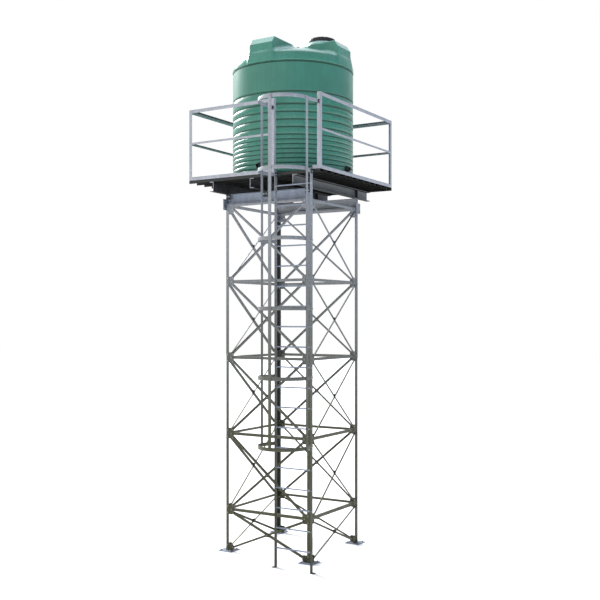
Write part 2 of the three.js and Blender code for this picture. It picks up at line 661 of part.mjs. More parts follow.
function tankRoof() {
  const turned = (manifold) => manifold.rotate([0, 0, -90]);
  const hole = drum(MANHOLE_RADIUS, RIM + NECK_ROOT, RIM + NECK_HEIGHT + TANK_WALL, NECK_SEGMENTS);
  const outer = roofBody(0).add(roofBlock(0)).add(turned(roofBlock(0))).add(neck(0));
  const inner = roofBody(TANK_WALL)
    .add(roofBlock(TANK_WALL)).add(turned(roofBlock(TANK_WALL))).add(neck(TANK_WALL))
    .add(solid(hole.translate(NECK_OUT, 0, 0)));
  return outer.subtract(inner);
}

function tankLid() {
  const base = RIM + NECK_HEIGHT + GAP;
  const [r, w, top] = [LID_RADIUS, LID_WALL, base + LID_HEIGHT];
  const profile = [
    [0, top - w], [r - 2 * w, top - w], [r - w, base], [r, base], [r, top - LID_BEVEL_DROP],
    [r - LID_BEVEL, top], [0, top],
  ];
  return lathe(profile, NECK_SEGMENTS).translate(NECK_OUT, 0, 0);
}

function vent() {
  const top = RIM + ROOF_HEIGHT + VENT_HEIGHT;
  const plug = drum(VENT_RADIUS, top - VENT_ROOT, top, VENT_SEGMENTS).translate(VENT_OUT, 0, 0);
  return solid(plug).subtract(roofBody(0, GAP));
}

// A flanged outlet on the wall, its bore along +X.
function outlet() {
  const start = TANK_RADIUS + GAP;
  const profile = [
    [OUTLET_BORE, 0], [OUTLET_FLANGE_RADIUS, 0], [OUTLET_FLANGE_RADIUS, OUTLET_FLANGE],
    [OUTLET_RADIUS, OUTLET_FLANGE], [OUTLET_RADIUS, OUTLET_LENGTH],
    [OUTLET_BORE, OUTLET_LENGTH], [OUTLET_BORE, 0],
  ];
  return lathe(profile, OUTLET_SEGMENTS).rotateY(QUARTER).translate(start, 0, TANK_BASE + OUTLET_HEIGHT);
}

place('tank_wall', tankWall(), greenPlastic);
place('tank_floor', drum(TANK_INSIDE - GAP, TANK_BASE, TANK_BASE + TANK_FLOOR), greenPlastic);
place('tank_roof', tankRoof(), greenPlastic);
place('tank_lid', tankLid(), blackPlastic);
place('tank_vent', vent(), blackPlastic);
place('tank_outlet_front', outlet(), blackPlastic, -QUARTER);
place('tank_outlet_right', outlet(), blackPlastic);

export default tower;
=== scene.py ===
"""A water tower: a ribbed polyethylene tank on a lattice stand of galvanised angles, with a
planked platform, a handrail and a caged cat ladder.

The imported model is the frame. Each sub-assembly below is a class that takes its place from the
frame's nodes, works out its fine surfaces as whole arrays, and dresses them. Lengths are metres.
"""

import logging
import math
from collections.abc import Callable, Sequence
from dataclasses import dataclass, field
from enum import Enum
from typing import ClassVar

import bpy
import numpy as np
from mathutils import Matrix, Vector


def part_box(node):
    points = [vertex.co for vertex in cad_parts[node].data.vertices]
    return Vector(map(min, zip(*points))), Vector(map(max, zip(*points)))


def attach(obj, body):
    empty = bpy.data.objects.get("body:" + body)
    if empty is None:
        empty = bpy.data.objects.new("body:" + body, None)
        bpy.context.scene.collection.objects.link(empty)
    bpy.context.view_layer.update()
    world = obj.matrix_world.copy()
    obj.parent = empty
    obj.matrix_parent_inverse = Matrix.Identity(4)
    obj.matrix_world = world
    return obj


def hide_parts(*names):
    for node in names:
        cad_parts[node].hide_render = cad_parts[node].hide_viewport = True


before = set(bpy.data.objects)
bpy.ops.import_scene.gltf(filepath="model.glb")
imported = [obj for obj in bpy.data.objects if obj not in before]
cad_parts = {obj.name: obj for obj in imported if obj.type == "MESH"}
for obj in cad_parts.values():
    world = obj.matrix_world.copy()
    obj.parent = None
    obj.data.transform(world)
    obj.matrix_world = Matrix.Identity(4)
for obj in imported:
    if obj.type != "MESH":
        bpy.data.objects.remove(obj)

log = logging.getLogger("water_tower")
Array = np.ndarray
MM = 0.001
QUARTER = math.pi / 2
X, Y, Z = np.eye(3)
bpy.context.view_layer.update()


class Side(Enum):
    """The four sides of the tower, as quarter turns from the front."""

    FRONT = 0
    RIGHT = 1
    REAR = 2
    LEFT = 3

    @property
    def label(self) -> str:
        """The side's word in node names."""
        return self.name.lower()

    @property
    def outward(self) -> Array:
        """Unit vector that points out of this side."""
        return np.array([(0, -1, 0), (1, 0, 0), (0, 1, 0), (-1, 0, 0)][self.value], float)


CORNERS = ("front_left", "front_right", "rear_right", "rear_left")


class Slot(Enum):
    """Material slots of the record."""

    STEEL = "galvanised_steel"
    PLATE = "galvanised_plate"
    GREEN = "green_polyethylene"
    BLACK = "black_polyethylene"


# ------------------------------------------------------------------ surfaces


@dataclass
class Surface:
    """Points and the faces between them; each item of faces is an array of rings of one length."""

    points: Array
    faces: list[Array]

    def moved(self, shift: Array) -> "Surface":
        """The same surface, shifted."""
        return Surface(self.points + np.asarray(shift), self.faces)

    def mapped(self, origin: Array, axes: Array) -> "Surface":
        """The surface with its x, y and z laid along the rows of axes, from origin."""
        return outward(Surface(np.asarray(origin) + self.points @ np.asarray(axes), self.faces))


def joined(parts: Sequence[Surface]) -> Surface:
    """Puts several surfaces into one.

    Args:
        parts: The surfaces, which keep their own points.

    Returns:
        One surface, with each part's indices raised by the points before it.
    """
    starts = np.cumsum([0] + [len(part.points) for part in parts])
    faces = [ring + start for part, start in zip(parts, starts) for ring in part.faces]
    return Surface(np.concatenate([part.points for part in parts]), faces)


def outward(surface: Surface) -> Surface:
    """Turns a closed surface so that its faces point out.

    Args:
        surface: A closed surface whose faces agree with each other.

    Returns:
        The surface, reversed if its volume, the sum over fans of a . (b x c) / 6, is negative.
    """
    middle = surface.points.mean(0)
    volume = 0.0
    for ring in surface.faces:
        corners = surface.points[ring] - middle
        for k in range(1, ring.shape[1] - 1):
            cross = np.cross(corners[:, k], corners[:, k + 1])
            volume += float((corners[:, 0] * cross).sum())
    if volume < 0:
        return Surface(surface.points, [ring[:, ::-1] for ring in surface.faces])
    return surface


def grid_faces(rows: int, columns: int, wrap_rows: bool = False,
               wrap_columns: bool = False) -> Array:
    """Quads of a grid of points stored row by row.

    Args:
        rows: Number of rows.
        columns: Points in a row.
        wrap_rows: Whether the last row joins the first.
        wrap_columns: Whether each row is a closed ring.

    Returns:
        An array of quads: (i, j), (i, j+1), (i+1, j+1), (i+1, j).
    """
    i = np.arange(rows if wrap_rows else rows - 1)[:, None]
    j = np.arange(columns if wrap_columns else columns - 1)[None, :]
    i2, j2 = (i + 1) % rows, (j + 1) % columns
    corners = np.broadcast_arrays(
        i * columns + j, i * columns + j2, i2 * columns + j2, i2 * columns + j)
    return np.stack([c.ravel() for c in corners], 1)


def welded(surface: Surface) -> Surface:
    """Merges points within a micrometre, and makes quads that collapse to a line triangles.

    Args:
        surface: A surface of quads, whose poles are rings of equal points.

    Returns:
        The surface with closed poles and seams.
    """
    keys, first, inverse = np.unique(
        np.round(surface.points * 1e6).astype(np.int64), axis=0,
        return_index=True, return_inverse=True)
    points, inverse = surface.points[first], inverse.reshape(-1)
    faces: list[Array] = []
    for ring in surface.faces:
        ring = inverse[ring]
        same = ring == np.roll(ring, -1, axis=1)
        faces.append(ring[same.sum(1) == 0])
        if ring.shape[1] == 4:
            once = ring[same.sum(1) == 1]
            keep = ~same[same.sum(1) == 1]
            faces.append(once[keep].reshape(-1, 3))
    return Surface(points, [ring for ring in faces if len(ring)])


def rounded(outline: Sequence, radii: Sequence[float] | float, steps: int = 4) -> Array:
    """Rounds the corners of a closed outline.

    Each corner becomes an arc of its radius, tangent to both sides: it starts
    radius * tan(turn / 2) before the corner, and its centre lies on the bisector.

    Args:
        outline: Corners (x, y), in order.
        radii: One radius, or one per corner; 0 keeps a corner sharp.
        steps: Straight pieces in each arc.

    Returns:
        The rounded outline.
    """
    corners = np.asarray(outline, float)
    reach = np.broadcast_to(np.asarray(radii, float), len(corners))
    before = corners - np.roll(corners, 1, 0)
    after = np.roll(corners, -1, 0) - corners
    before /= np.linalg.norm(before, axis=1)[:, None]
    after /= np.linalg.norm(after, axis=1)[:, None]
    cross = before[:, 0] * after[:, 1] - before[:, 1] * after[:, 0]
    turn = np.arctan2(cross, (before * after).sum(1))
    out = []
    for corner, b, a, angle, radius in zip(corners, before, after, turn, reach):
        if radius <= 0 or abs(angle) < 1e-3:
            out.append(corner[None])
            continue
        inset = radius * math.tan(abs(angle) / 2)
        start, sign = corner - b * inset, math.copysign(1, angle)
        centre = start + sign * radius * np.array([-b[1], b[0]])
        sweep = np.linspace(0, angle, steps + 1)[:, None]
        spoke = start - centre
        out.append(centre + spoke * np.cos(sweep) + np.array([-spoke[1], spoke[0]]) * np.sin(sweep))
    return np.concatenate(out)


def capped(rings: Array) -> Surface:
    """Closes a stack of rings into a solid.

    Args:
        rings: Points (ring, point, coordinate), with equal counts round each ring.

    Returns:
        Quads between neighbouring rings, and a flat face on the first and on the last.
    """
    count = rings.shape[1]
    order = np.arange(count)
    return outward(Surface(rings.reshape(-1, 3), [
        grid_faces(len(rings), count, wrap_columns=True),
        order[None, ::-1], (order + (len(rings) - 1) * count)[None]]))


def bar(outline: Array, across: Array, up: Array, start: Array, end: Array) -> Surface:
    """A straight bar: an outline in the plane of across and up, carried from start to end.

    Args:
        outline: Corners (x, y) of the closed section.
        across: Direction of the section's x.
        up: Direction of the section's y.
        start: One end of the line x = y = 0.
        end: Its other end.

    Returns:
        A closed surface with flat ends: point = end or start + x across + y up.
    """
    ring = outline[:, :1] * np.asarray(across, float) + outline[:, 1:] * np.asarray(up, float)
    return capped(np.stack([ring + start, ring + end]))


def revolved(profile: Array, segments: int, reach: Callable[[Array, Array], Array] | None = None,
             ) -> Surface:
    """A closed profile turned about Z.

    Args:
        profile: Corners (r, z) of the closed outline.
        segments: Steps round the axis.
        reach: Change of radius as a function of the angle and the row of the profile.

    Returns:
        Points (r cos a, r sin a, z) with r = profile radius + reach(a, row).
    """
    angle = np.linspace(0, 2 * math.pi, segments, endpoint=False)[None, :]
    rows = np.arange(len(profile))[:, None]
    radius = profile[:, :1] + np.zeros_like(angle)
    if reach is not None:
        radius = radius + reach(angle, rows)
    points = np.stack([radius * np.cos(angle), radius * np.sin(angle),
                       np.broadcast_to(profile[:, 1:], radius.shape)], -1).reshape(-1, 3)
    return outward(welded(Surface(points, [
        grid_faces(len(profile), segments, wrap_rows=True, wrap_columns=True)])))


def ribbon(path: Array, thickness: float, height: float, radius: float) -> Surface:
    """A flat bar on edge, bent along a path in plan.

    Args:
        path: Points (x, y, z) of the bar's middle line, at one height.
        thickness: Of the bar, square to the path in plan.
        height: Of the bar along Z.
        radius: Of its long edges.

    Returns:
        The rounded section carried along the path on the mitre of its corners: at each point
        the plan offset is divided by the cosine of half the turn, so the width stays even.
    """
    step = np.diff(path, axis=0)
    step /= np.linalg.norm(step, axis=1)[:, None]
    first, last = np.vstack([step[:1], step]), np.vstack([step, step[-1:]])
    mean = first + last
    mean /= np.linalg.norm(mean, axis=1)[:, None]
    stretch = 1 / np.clip((mean * first).sum(1), 0.3, 1)
    normal = np.stack([-mean[:, 1], mean[:, 0], np.zeros(len(path))], 1) * stretch[:, None]
    half, tall = thickness / 2, height / 2
    section = rounded([(-half, -tall), (half, -tall), (half, tall), (-half, tall)], radius, 3)
    rings = path[:, None] + section[None, :, :1] * normal[:, None] + section[None, :, 1:] * Z
    return capped(rings)


def plate(low: Array, high: Array, radius: float = 0.8 * MM) -> Surface:
    """A flat plate between two corners, its edges eased.

    Args:
        low: Lowest corner.
        high: Highest corner.
        radius: Width of the eased edge.

    Returns:
        Four stacked outlines: the full one twice, between two drawn in by radius. Its corners
        are rounded by 2.5 times as much.
    """
    low, high = np.asarray(low, float), np.asarray(high, float)
    run = int(np.argmin(high - low))
    a, b = [k for k in range(3) if k != run]
    outline = rounded([(low[a], low[b]), (high[a], low[b]), (high[a], high[b]), (low[a], high[b])],
                      2.5 * radius, 3)
    middle, span = (low + high)[[a, b]] / 2, (high - low)[[a, b]]
    inner = middle + (outline - middle) * (1 - 2 * radius / span)
    return stacked([inner, outline, outline, inner],
                   [low[run], low[run] + radius, high[run] - radius, high[run]], (a, b, run))


def stacked(outlines: Sequence[Array], heights: Sequence[float],
            axes: tuple[int, int, int] = (0, 1, 2)) -> Surface:
    """Closed outlines of equal length, one above the other, with flat ends.

    Args:
        outlines: The outlines, as (x, y) arrays.
        heights: The height of each.
        axes: Which coordinates the outline's x, its y and the height are.

    Returns:
        The closed surface through them.
    """
    count = len(outlines[0])
    points = np.zeros((len(outlines) * count, 3))
    points[:, axes[0]], points[:, axes[1]] = np.concatenate(outlines).T
    points[:, axes[2]] = np.repeat(np.asarray(heights, float), count)
    return capped(points.reshape(len(outlines), count, 3))


def repeated(surface: Surface, origins: Array, axes: Array) -> Surface:
    """Copies of a small surface.

    Args:
        surface: The piece, about its own origin.
        origins: Where each copy goes, (n, 3).
        axes: The directions of its x, y and z at each place, (n, 3, 3).

    Returns:
        All the copies: point = origin + local point times axes.
    """
    points = np.einsum("pi,nij->npj", surface.points, axes) + origins[:, None]
    shift = (np.arange(len(origins)) * len(surface.points))[:, None, None]
    faces = [(ring[None] + shift).reshape(-1, ring.shape[1]) for ring in surface.faces]
    return Surface(points.reshape(-1, 3), faces)


def turned(surface: Surface, side: Side, centre: Array) -> Surface:
    """Turns a surface made at the front to a side, about the tower's axis.

    Args:
        surface: A surface made for the front.
        side: The side it goes to.
        centre: A point on the axis.

    Returns:
        The turned surface.
    """
    c, s = round(math.cos(side.value * QUARTER)), round(math.sin(side.value * QUARTER))
    spin = np.array([(c, s, 0), (-s, c, 0), (0, 0, 1)], float)
    return Surface((surface.points - centre) @ spin + centre, surface.faces)


def directions(normals: Array) -> Array:
    """Right-handed axes for each normal, with z along it.

    Args:
        normals: Unit vectors, (n, 3).

    Returns:
        Rows x, y, z for each: x is square to the normal and level where it can be.
    """
    normals = np.asarray(normals, float)
    guide = np.where(np.abs(normals[:, 2:]) > 0.9, X, Z)
    across = np.cross(guide, normals)
    across /= np.linalg.norm(across, axis=1)[:, None]
    return np.stack([across, np.cross(normals, across), normals], 1)


def box_of(node: str) -> tuple[Array, Array]:
    """Lowest and highest corner of a node."""
    low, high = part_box(node)
    return np.array(low), np.array(high)


def make(name: str, surface: Surface, finish: bpy.types.Material,
         stands_for: Sequence[str] = (), crease: float = 32.0,
         normals: Array | None = None, depth: Array | None = None) -> bpy.types.Object:
    """Makes a piece of the object and hangs it on the frame.

    Args:
        name: The piece's name.
        surface: Its surface, in place.
        finish: Its material.
        stands_for: Nodes that it replaces.
        crease: Edges that turn more than this many degrees stay sharp.
        normals: Exact unit normals of the points, where they are known.
        depth: How deep in a groove each point lies, from 0 to 1; it sets the painted shade of the
            grooves.

    Returns:
        The object, at the origin.
    """
    mesh = bpy.data.meshes.new(name)
    loops = np.concatenate([ring.ravel() for ring in surface.faces])
    totals = np.concatenate([np.full(len(ring), ring.shape[1]) for ring in surface.faces])
    mesh.vertices.add(len(surface.points))
    mesh.vertices.foreach_set("co", surface.points.astype(np.float32).ravel())
    mesh.loops.add(len(loops))
    mesh.loops.foreach_set("vertex_index", loops.astype(np.int32))
    mesh.polygons.add(len(totals))
    mesh.polygons.foreach_set("loop_start", (np.cumsum(totals) - totals).astype(np.int32))
    mesh.polygons.foreach_set("use_smooth", np.ones(len(totals), bool))
    mesh.update(calc_edges=True)
    mesh.validate()
    if normals is None:
        mesh.set_sharp_from_angle(angle=math.radians(crease))
    else:
        mesh.normals_split_custom_set_from_vertices(normals)
    if depth is not None:
        mesh.attributes.new("depth", "FLOAT", "POINT").data.foreach_set(
            "value", depth.astype(np.float32))
    mesh.materials.append(finish)
    piece = bpy.data.objects.new(name, mesh)
    bpy.context.scene.collection.objects.link(piece)
    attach(piece, "root")
    if stands_for:
        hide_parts(*stands_for)
    log.info("%s: %d faces", name, len(totals))
    return piece


# ------------------------------------------------------------------ finishes


def linear(colour: str) -> tuple[float, float, float, float]:
    """Linear colour of an sRGB hex value.

    Args:
        colour: Such as "#47806f".

    Returns:
        Red, green, blue and alpha 1; each channel is ((c + 0.055) / 1.055) to the power 2.4,
        or c / 12.92 in the darkest part.
    """
    parts = [int(colour[k:k + 2], 16) / 255 for k in (1, 3, 5)]
    red, green, blue = (c / 12.92 if c <= 0.04045 else ((c + 0.055) / 1.055) ** 2.4 for c in parts)
    return red, green, blue, 1.0


def add_node(tree: bpy.types.NodeTree, kind: str, inputs: dict | None = None,
             **settings: object) -> bpy.types.Node:
    """Adds a node with its settings and links.

    Args:
        tree: The tree that it goes into.
        kind: The node's type, without "ShaderNode".
        inputs: Values or output sockets for its inputs, by name or number.
        settings: The node's own properties.

    Returns:
        The node.
    """
    node = tree.nodes.new("ShaderNode" + kind)
    for name, value in settings.items():
        setattr(node, name, value)
    for key, value in (inputs or {}).items():
        if isinstance(value, bpy.types.NodeSocket):
            tree.links.new(value, node.inputs[key])
        else:
            node.inputs[key].default_value = value
    return node


def per_metre(size_mm: float) -> float:
    """A pattern's scale for features of a real size in millimetres."""
    return 1 / (size_mm * MM)


@dataclass(frozen=True)
class GalvanisedSteel:
    """Hot-dip galvanised rolled steel: a dull zinc skin with faint crystal flakes, streaked by
    rain; lower down its colour turns olive and darker as painted reflection of the ground and
    painted shade, and faces that look down carry painted shade."""

    name: str
    high: str = "#9da1a8"            # zinc high up
    low: str = "#484836"             # painted reflection of the dark ground and painted shade, olive, low down
    change: tuple[float, float] = (1.2, 7.0)   # heights between which one becomes the other
    under: str = "#242521"           # painted shade on faces that look down
    under_share: float = 0.8
    flake_mm: float = 14.0           # zinc spangle is 8 to 20 mm across
    streak_mm: float = 60.0
    metallic: float = 0.55
    roughness: float = 0.5

    def build(self) -> bpy.types.Material:
        """Makes the material.

        Returns:
            A material on Object coordinates: height mixes the two colours, the lower one painted
            reflection and shade; cells and noise vary them, and the normal's downward part brings in
            matt painted shade below.
        """
        material = bpy.data.materials.new(self.name)
        material.use_nodes = True
        tree = material.node_tree
        tree.nodes.clear()
        place = add_node(tree, "TexCoord").outputs["Object"]
        height = add_node(tree, "SeparateXYZ", {0: place}).outputs["Z"]
        cloud = add_node(tree, "TexNoise", {
            "Vector": place, "Scale": per_metre(420), "Detail": 4.0, "Roughness": 0.6})
        lifted = add_node(tree, "Math", {0: cloud.outputs[0], 1: 1.3, 2: height},
                          operation="MULTIPLY_ADD")
        share = add_node(tree, "MapRange", {
            "Value": lifted.outputs[0], "From Min": self.change[0] + 0.65,
            "From Max": self.change[1] + 0.65}, interpolation_type="SMOOTHSTEP")
        # painted reflection of the ground and painted shade: the colour turns olive and darker lower
        # down
        base = add_node(tree, "Mix", {
            0: share.outputs[0], 6: linear(self.low), 7: linear(self.high)}, data_type="RGBA")
        flakes = add_node(tree, "TexVoronoi", {
            "Vector": place, "Scale": per_metre(self.flake_mm), "Randomness": 1.0})
        flake = add_node(tree, "SeparateColor", {0: flakes.outputs["Color"]})
        tone = add_node(tree, "MapRange", {
            "Value": flake.outputs[0], "To Min": 0.88, "To Max": 1.12})
        tall = add_node(tree, "Mapping", {"Vector": place, "Scale": (1.0, 1.0, 0.08)})
        rain = add_node(tree, "TexNoise", {
            "Vector": tall.outputs[0], "Scale": per_metre(self.streak_mm), "Detail": 5.0,
            "Roughness": 0.65})
        streak = add_node(tree, "MapRange", {
            "Value": rain.outputs[0], "From Min": 0.3, "From Max": 0.7,
            "To Min": 0.86, "To Max": 1.08})
        both = add_node(tree, "Math", {0: tone.outputs[0], 1: streak.outputs[0]},
                        operation="MULTIPLY")
        varied = add_node(tree, "VectorMath", {0: base.outputs[2], "Scale": both.outputs[0]},
                          operation="SCALE")
        facing = add_node(tree, "SeparateXYZ", {
            0: add_node(tree, "NewGeometry").outputs["Normal"]})
        # painted shade on faces that look down
        down = add_node(tree, "MapRange", {
            "Value": facing.outputs["Z"], "From Min": -0.25, "From Max": -0.9,
            "To Min": 0.0, "To Max": self.under_share})
        rough = add_node(tree, "MapRange", {
            "Value": cloud.outputs[0], "From Min": 0.3, "From Max": 0.7,
            "To Min": self.roughness - 0.08, "To Max": self.roughness + 0.14})
        grain = add_node(tree, "TexNoise", {
            "Vector": place, "Scale": per_metre(5), "Detail": 3.0})
        bump = add_node(tree, "Bump", {
            "Strength": 0.12, "Distance": 0.4 * MM, "Height": grain.outputs[0]})
        shader = add_node(tree, "BsdfPrincipled", {
            "Base Color": varied.outputs[0], "Metallic": self.metallic,
            "Roughness": rough.outputs[0], "Normal": bump.outputs[0]})
        # painted shade: a matt dark diffuse mixed in on faces that look down
        painted_shade = add_node(tree, "BsdfDiffuse", {"Color": linear(self.under)})
        both = add_node(tree, "MixShader", {
            0: down.outputs[0], 1: shader.outputs[0], 2: painted_shade.outputs[0]})
        add_node(tree, "OutputMaterial", {0: both.outputs[0]})
        return material


@dataclass(frozen=True)
class MouldedPolyethylene:
    """Roto-moulded or injection-moulded polyethylene: a satin skin with the mould's fine orange
    peel, with painted sunlight, pale, on faces that look up and painted shade in its grooves."""

    name: str
    colour: str
    deep: str                        # in the mould's darker clouds
    sunlit: str                    # painted sunlight, pale, on faces that look up
    sunlit_share: float = 0.5
    sunlit_from: float = 0.0       # height above which the sun reaches it, m
    painted_shade: str = "#1d4433"           # painted shade in the grooves and along the rim
    peel_mm: float = 7.0             # orange peel of the mould; drawn coarse enough to show
    cloud_mm: float = 260.0
    roughness: float = 0.38
    ior: float = 1.5

    def build(self) -> bpy.types.Material:
        """Makes the material.

        Returns:
            A material on Object coordinates: clouds vary the colour, the normal's upward part
            brings in painted sunlight above a height, the depth attribute brings in painted shade in
            the grooves and along the rim, rain draws long faint streaks, and fine noise lifts the
            surface.
        """
        material = bpy.data.materials.new(self.name)
        material.use_nodes = True
        tree = material.node_tree
        tree.nodes.clear()
        place = add_node(tree, "TexCoord").outputs["Object"]
        cloud = add_node(tree, "TexNoise", {
            "Vector": place, "Scale": per_metre(self.cloud_mm), "Detail": 5.0, "Roughness": 0.62})
        share = add_node(tree, "MapRange", {
            "Value": cloud.outputs[0], "From Min": 0.32, "From Max": 0.68})
        base = add_node(tree, "Mix", {
            0: share.outputs[0], 6: linear(self.deep), 7: linear(self.colour)}, data_type="RGBA")
        tall = add_node(tree, "Mapping", {"Vector": place, "Scale": (1.0, 1.0, 0.05)})
        rain = add_node(tree, "TexNoise", {
            "Vector": tall.outputs[0], "Scale": per_metre(45), "Detail": 4.0, "Roughness": 0.6})
        streak = add_node(tree, "MapRange", {
            "Value": rain.outputs[0], "From Min": 0.3, "From Max": 0.72,
            "To Min": 0.93, "To Max": 1.06})
        varied = add_node(tree, "VectorMath", {0: base.outputs[2], "Scale": streak.outputs[0]},
                          operation="SCALE")
        facing = add_node(tree, "SeparateXYZ", {
            0: add_node(tree, "NewGeometry").outputs["Normal"]})
        # painted sunlight: a pale colour on faces that look up, above a given height
        up = add_node(tree, "MapRange", {
            "Value": facing.outputs["Z"], "From Min": 0.2, "From Max": 0.7,
            "To Min": 0.0, "To Max": self.sunlit_share})
        height = add_node(tree, "SeparateXYZ", {0: place})
        open_sky = add_node(tree, "MapRange", {
            "Value": height.outputs["Z"], "From Min": self.sunlit_from - 15 * MM,
            "From Max": self.sunlit_from + 15 * MM})
        sunned = add_node(tree, "Math", {0: up.outputs[0], 1: open_sky.outputs[0]},
                          operation="MULTIPLY")
        pale = add_node(tree, "Mix", {
            0: sunned.outputs[0], 6: varied.outputs[0], 7: linear(self.sunlit)}, data_type="RGBA")
        # painted shade in the grooves and along the rim, from the per-point depth attribute
        depth = add_node(tree, "Attribute", attribute_name="depth")
        groove_shading = add_node(tree, "MapRange", {
            "Value": depth.outputs["Fac"], "From Min": 0.3, "From Max": 0.8,
            "To Min": 0.0, "To Max": 0.9})
        colour = add_node(tree, "Mix", {
            0: groove_shading.outputs[0], 6: pale.outputs[2], 7: linear(self.painted_shade)}, data_type="RGBA")
        peel = add_node(tree, "TexNoise", {
            "Vector": place, "Scale": per_metre(self.peel_mm), "Detail": 3.0, "Roughness": 0.6})
        bump = add_node(tree, "Bump", {
            "Strength": 0.35, "Distance": 0.6 * MM, "Height": peel.outputs[0]})
        rough = add_node(tree, "MapRange", {
            "Value": cloud.outputs[0], "From Min": 0.3, "From Max": 0.7,
            "To Min": self.roughness + 0.08, "To Max": self.roughness - 0.05})
        dull = add_node(tree, "Math", {0: groove_shading.outputs[0], 1: 0.5, 2: rough.outputs[0]},
                        operation="MULTIPLY_ADD")
        shader = add_node(tree, "BsdfPrincipled", {
            "Base Color": colour.outputs[2], "Roughness": dull.outputs[0], "IOR": self.ior,
            "Normal": bump.outputs[0]})
        add_node(tree, "OutputMaterial", {0: shader.outputs[0]})
        return material


@dataclass(frozen=True)
class PaintedFloor:
    """Matt white paint on a screed floor: nearly flat, with the faintest roller mottle."""

    name: str = "matt_white_floor_paint"
    colour: str = "#fdfdfd"
    roughness: float = 0.9

    def build(self) -> bpy.types.Material:
        """Makes the material: noise of a hand's width varies the roughness a little."""
        material = bpy.data.materials.new(self.name)
        material.use_nodes = True
        tree = material.node_tree
        tree.nodes.clear()
        place = add_node(tree, "TexCoord").outputs["Object"]
        mottle = add_node(tree, "TexNoise", {"Vector": place, "Scale": per_metre(90)})
        rough = add_node(tree, "MapRange", {
            "Value": mottle.outputs[0], "To Min": self.roughness - 0.05, "To Max": self.roughness})
        shader = add_node(tree, "BsdfPrincipled", {
            "Base Color": linear(self.colour), "Roughness": rough.outputs[0]})
        add_node(tree, "OutputMaterial", {0: shader.outputs[0]})
        return material


@dataclass
class Finishes:
    """Every finish of the tower, made once."""

    steel: bpy.types.Material = field(default_factory=lambda: GalvanisedSteel(
        "galvanised_rolled_steel", under="#3c3e3c", under_share=0.6).build())
    zinc: bpy.types.Material = field(default_factory=lambda: GalvanisedSteel(
        "galvanised_bright_steel", high="#8a929f", low="#7f8898", under_share=0.3).build())
    # a half-shaded copy of the steel: painted shade on the right bearer under the deck
    half_shaded: bpy.types.Material = field(default_factory=lambda: GalvanisedSteel(
        "galvanised_steel_half_shade", high="#666a6b", low="#666a6b").build())
    # a shaded copy of the steel: painted shade on the rear-left leg and the left and middle bearers
    shaded: bpy.types.Material = field(default_factory=lambda: GalvanisedSteel(
        "galvanised_steel_in_shade", high="#393b3e", low="#33342f").build())
    # painted shade: the deck, seen from below, is dark all over and black on faces that look down
    deck: bpy.types.Material = field(default_factory=lambda: GalvanisedSteel(
        "galvanised_deck_sheet_in_shade", high="#2b2c2a", low="#2b2c2a", under="#030302",
        under_share=1.0, metallic=0.3).build())
    rail: bpy.types.Material = field(default_factory=lambda: GalvanisedSteel(
        "galvanised_rail_steel", high="#a6a9b0", low="#a6a9b0", under="#1b2a26",
        under_share=0.9, metallic=0.45).build())
    dark: bpy.types.Material = field(default_factory=lambda: GalvanisedSteel(
        "black_oxide_bracket_steel", high="#34363a", low="#2c2d27", under="#141414",
        metallic=0.4, roughness=0.55).build())
    bolt: bpy.types.Material = field(default_factory=lambda: GalvanisedSteel(
        "zinc_plated_bolt_steel", high="#b9c0cc", low="#7c7c6c", flake_mm=4.0,
        under_share=0.3, metallic=0.8, roughness=0.36).build())
    # the pale colour on the roof's upward faces above 7.225 m is painted sunlight
    green: bpy.types.Material = field(default_factory=lambda: MouldedPolyethylene(
        "roto_moulded_green_polyethylene", "#3f8170", "#3a7866", "#bfe6de", sunlit_share=0.72,
        sunlit_from=7.225, roughness=0.26).build())
    # the paler colour on the upward faces of the lid, vent and outlets is painted sunlight
    black: bpy.types.Material = field(default_factory=lambda: MouldedPolyethylene(
        "moulded_black_polyethylene", "#17191b", "#101213", "#2a2d30", sunlit_share=0.3,
        peel_mm=3.0, roughness=0.45).build())


# ------------------------------------------------------------------ fixings


@dataclass(frozen=True)
class Bolt:
    """A hexagon bolt with its washer, and a nut and a thread's end on the far side."""

    across_corners: float = 20.8 * MM
    head: float = 7.5 * MM
    washer: float = 25.0 * MM
    washer_thickness: float = 2.5 * MM

    def head_surface(self, tail: float = 0.0) -> Surface:
        """The washer and the head, on the plane z = 0.

        Args:
            tail: Length of thread past the head, where this is the nut's end.

        Returns:
            A washer ring and a chamfered hexagon: six sides, drawn in at the top by the
            chamfer, then a thread of twelve sides.
        """
        top = self.washer_thickness + self.head
        disc = np.linspace(0, 2 * math.pi, 12, endpoint=False)
        hexagon = np.repeat(np.linspace(0, 2 * math.pi, 6, endpoint=False), 2)
        circle, six = (np.stack([np.cos(a), np.sin(a)], 1) for a in (disc, hexagon + math.pi / 12))
        washer, corner = self.washer / 2, self.across_corners / 2
        parts = [
            stacked([circle * washer, circle * washer], [0, self.washer_thickness]),
            stacked([six[::2] * corner, six[::2] * corner, six[::2] * corner * 0.82],
                    [self.washer_thickness, top - 0.15 * self.head, top])]
        if tail:
            stem = circle * corner * 0.55
            parts.append(stacked([stem, stem, stem * 0.8], [top, top + tail - MM, top + tail]))
        return joined(parts)

    def through(self, points: Array, normals: Array, grips: Array | float) -> Surface:
        """Bolts through plates.

        Args:
            points: Where each head's washer lies, (n, 3).
            normals: The way each head faces, (n, 3).
            grips: Thickness of what each one clamps.

        Returns:
            Heads at the points, and nuts the grip behind them.
        """
        points, normals = np.asarray(points, float), np.asarray(normals, float)
        normals = np.broadcast_to(normals, points.shape)
        back = points - normals * np.broadcast_to(np.asarray(grips, float), len(points))[:, None]
        return joined([
            repeated(self.head_surface(), points, directions(normals)),
            repeated(self.head_surface(4 * MM), back, directions(-normals))])


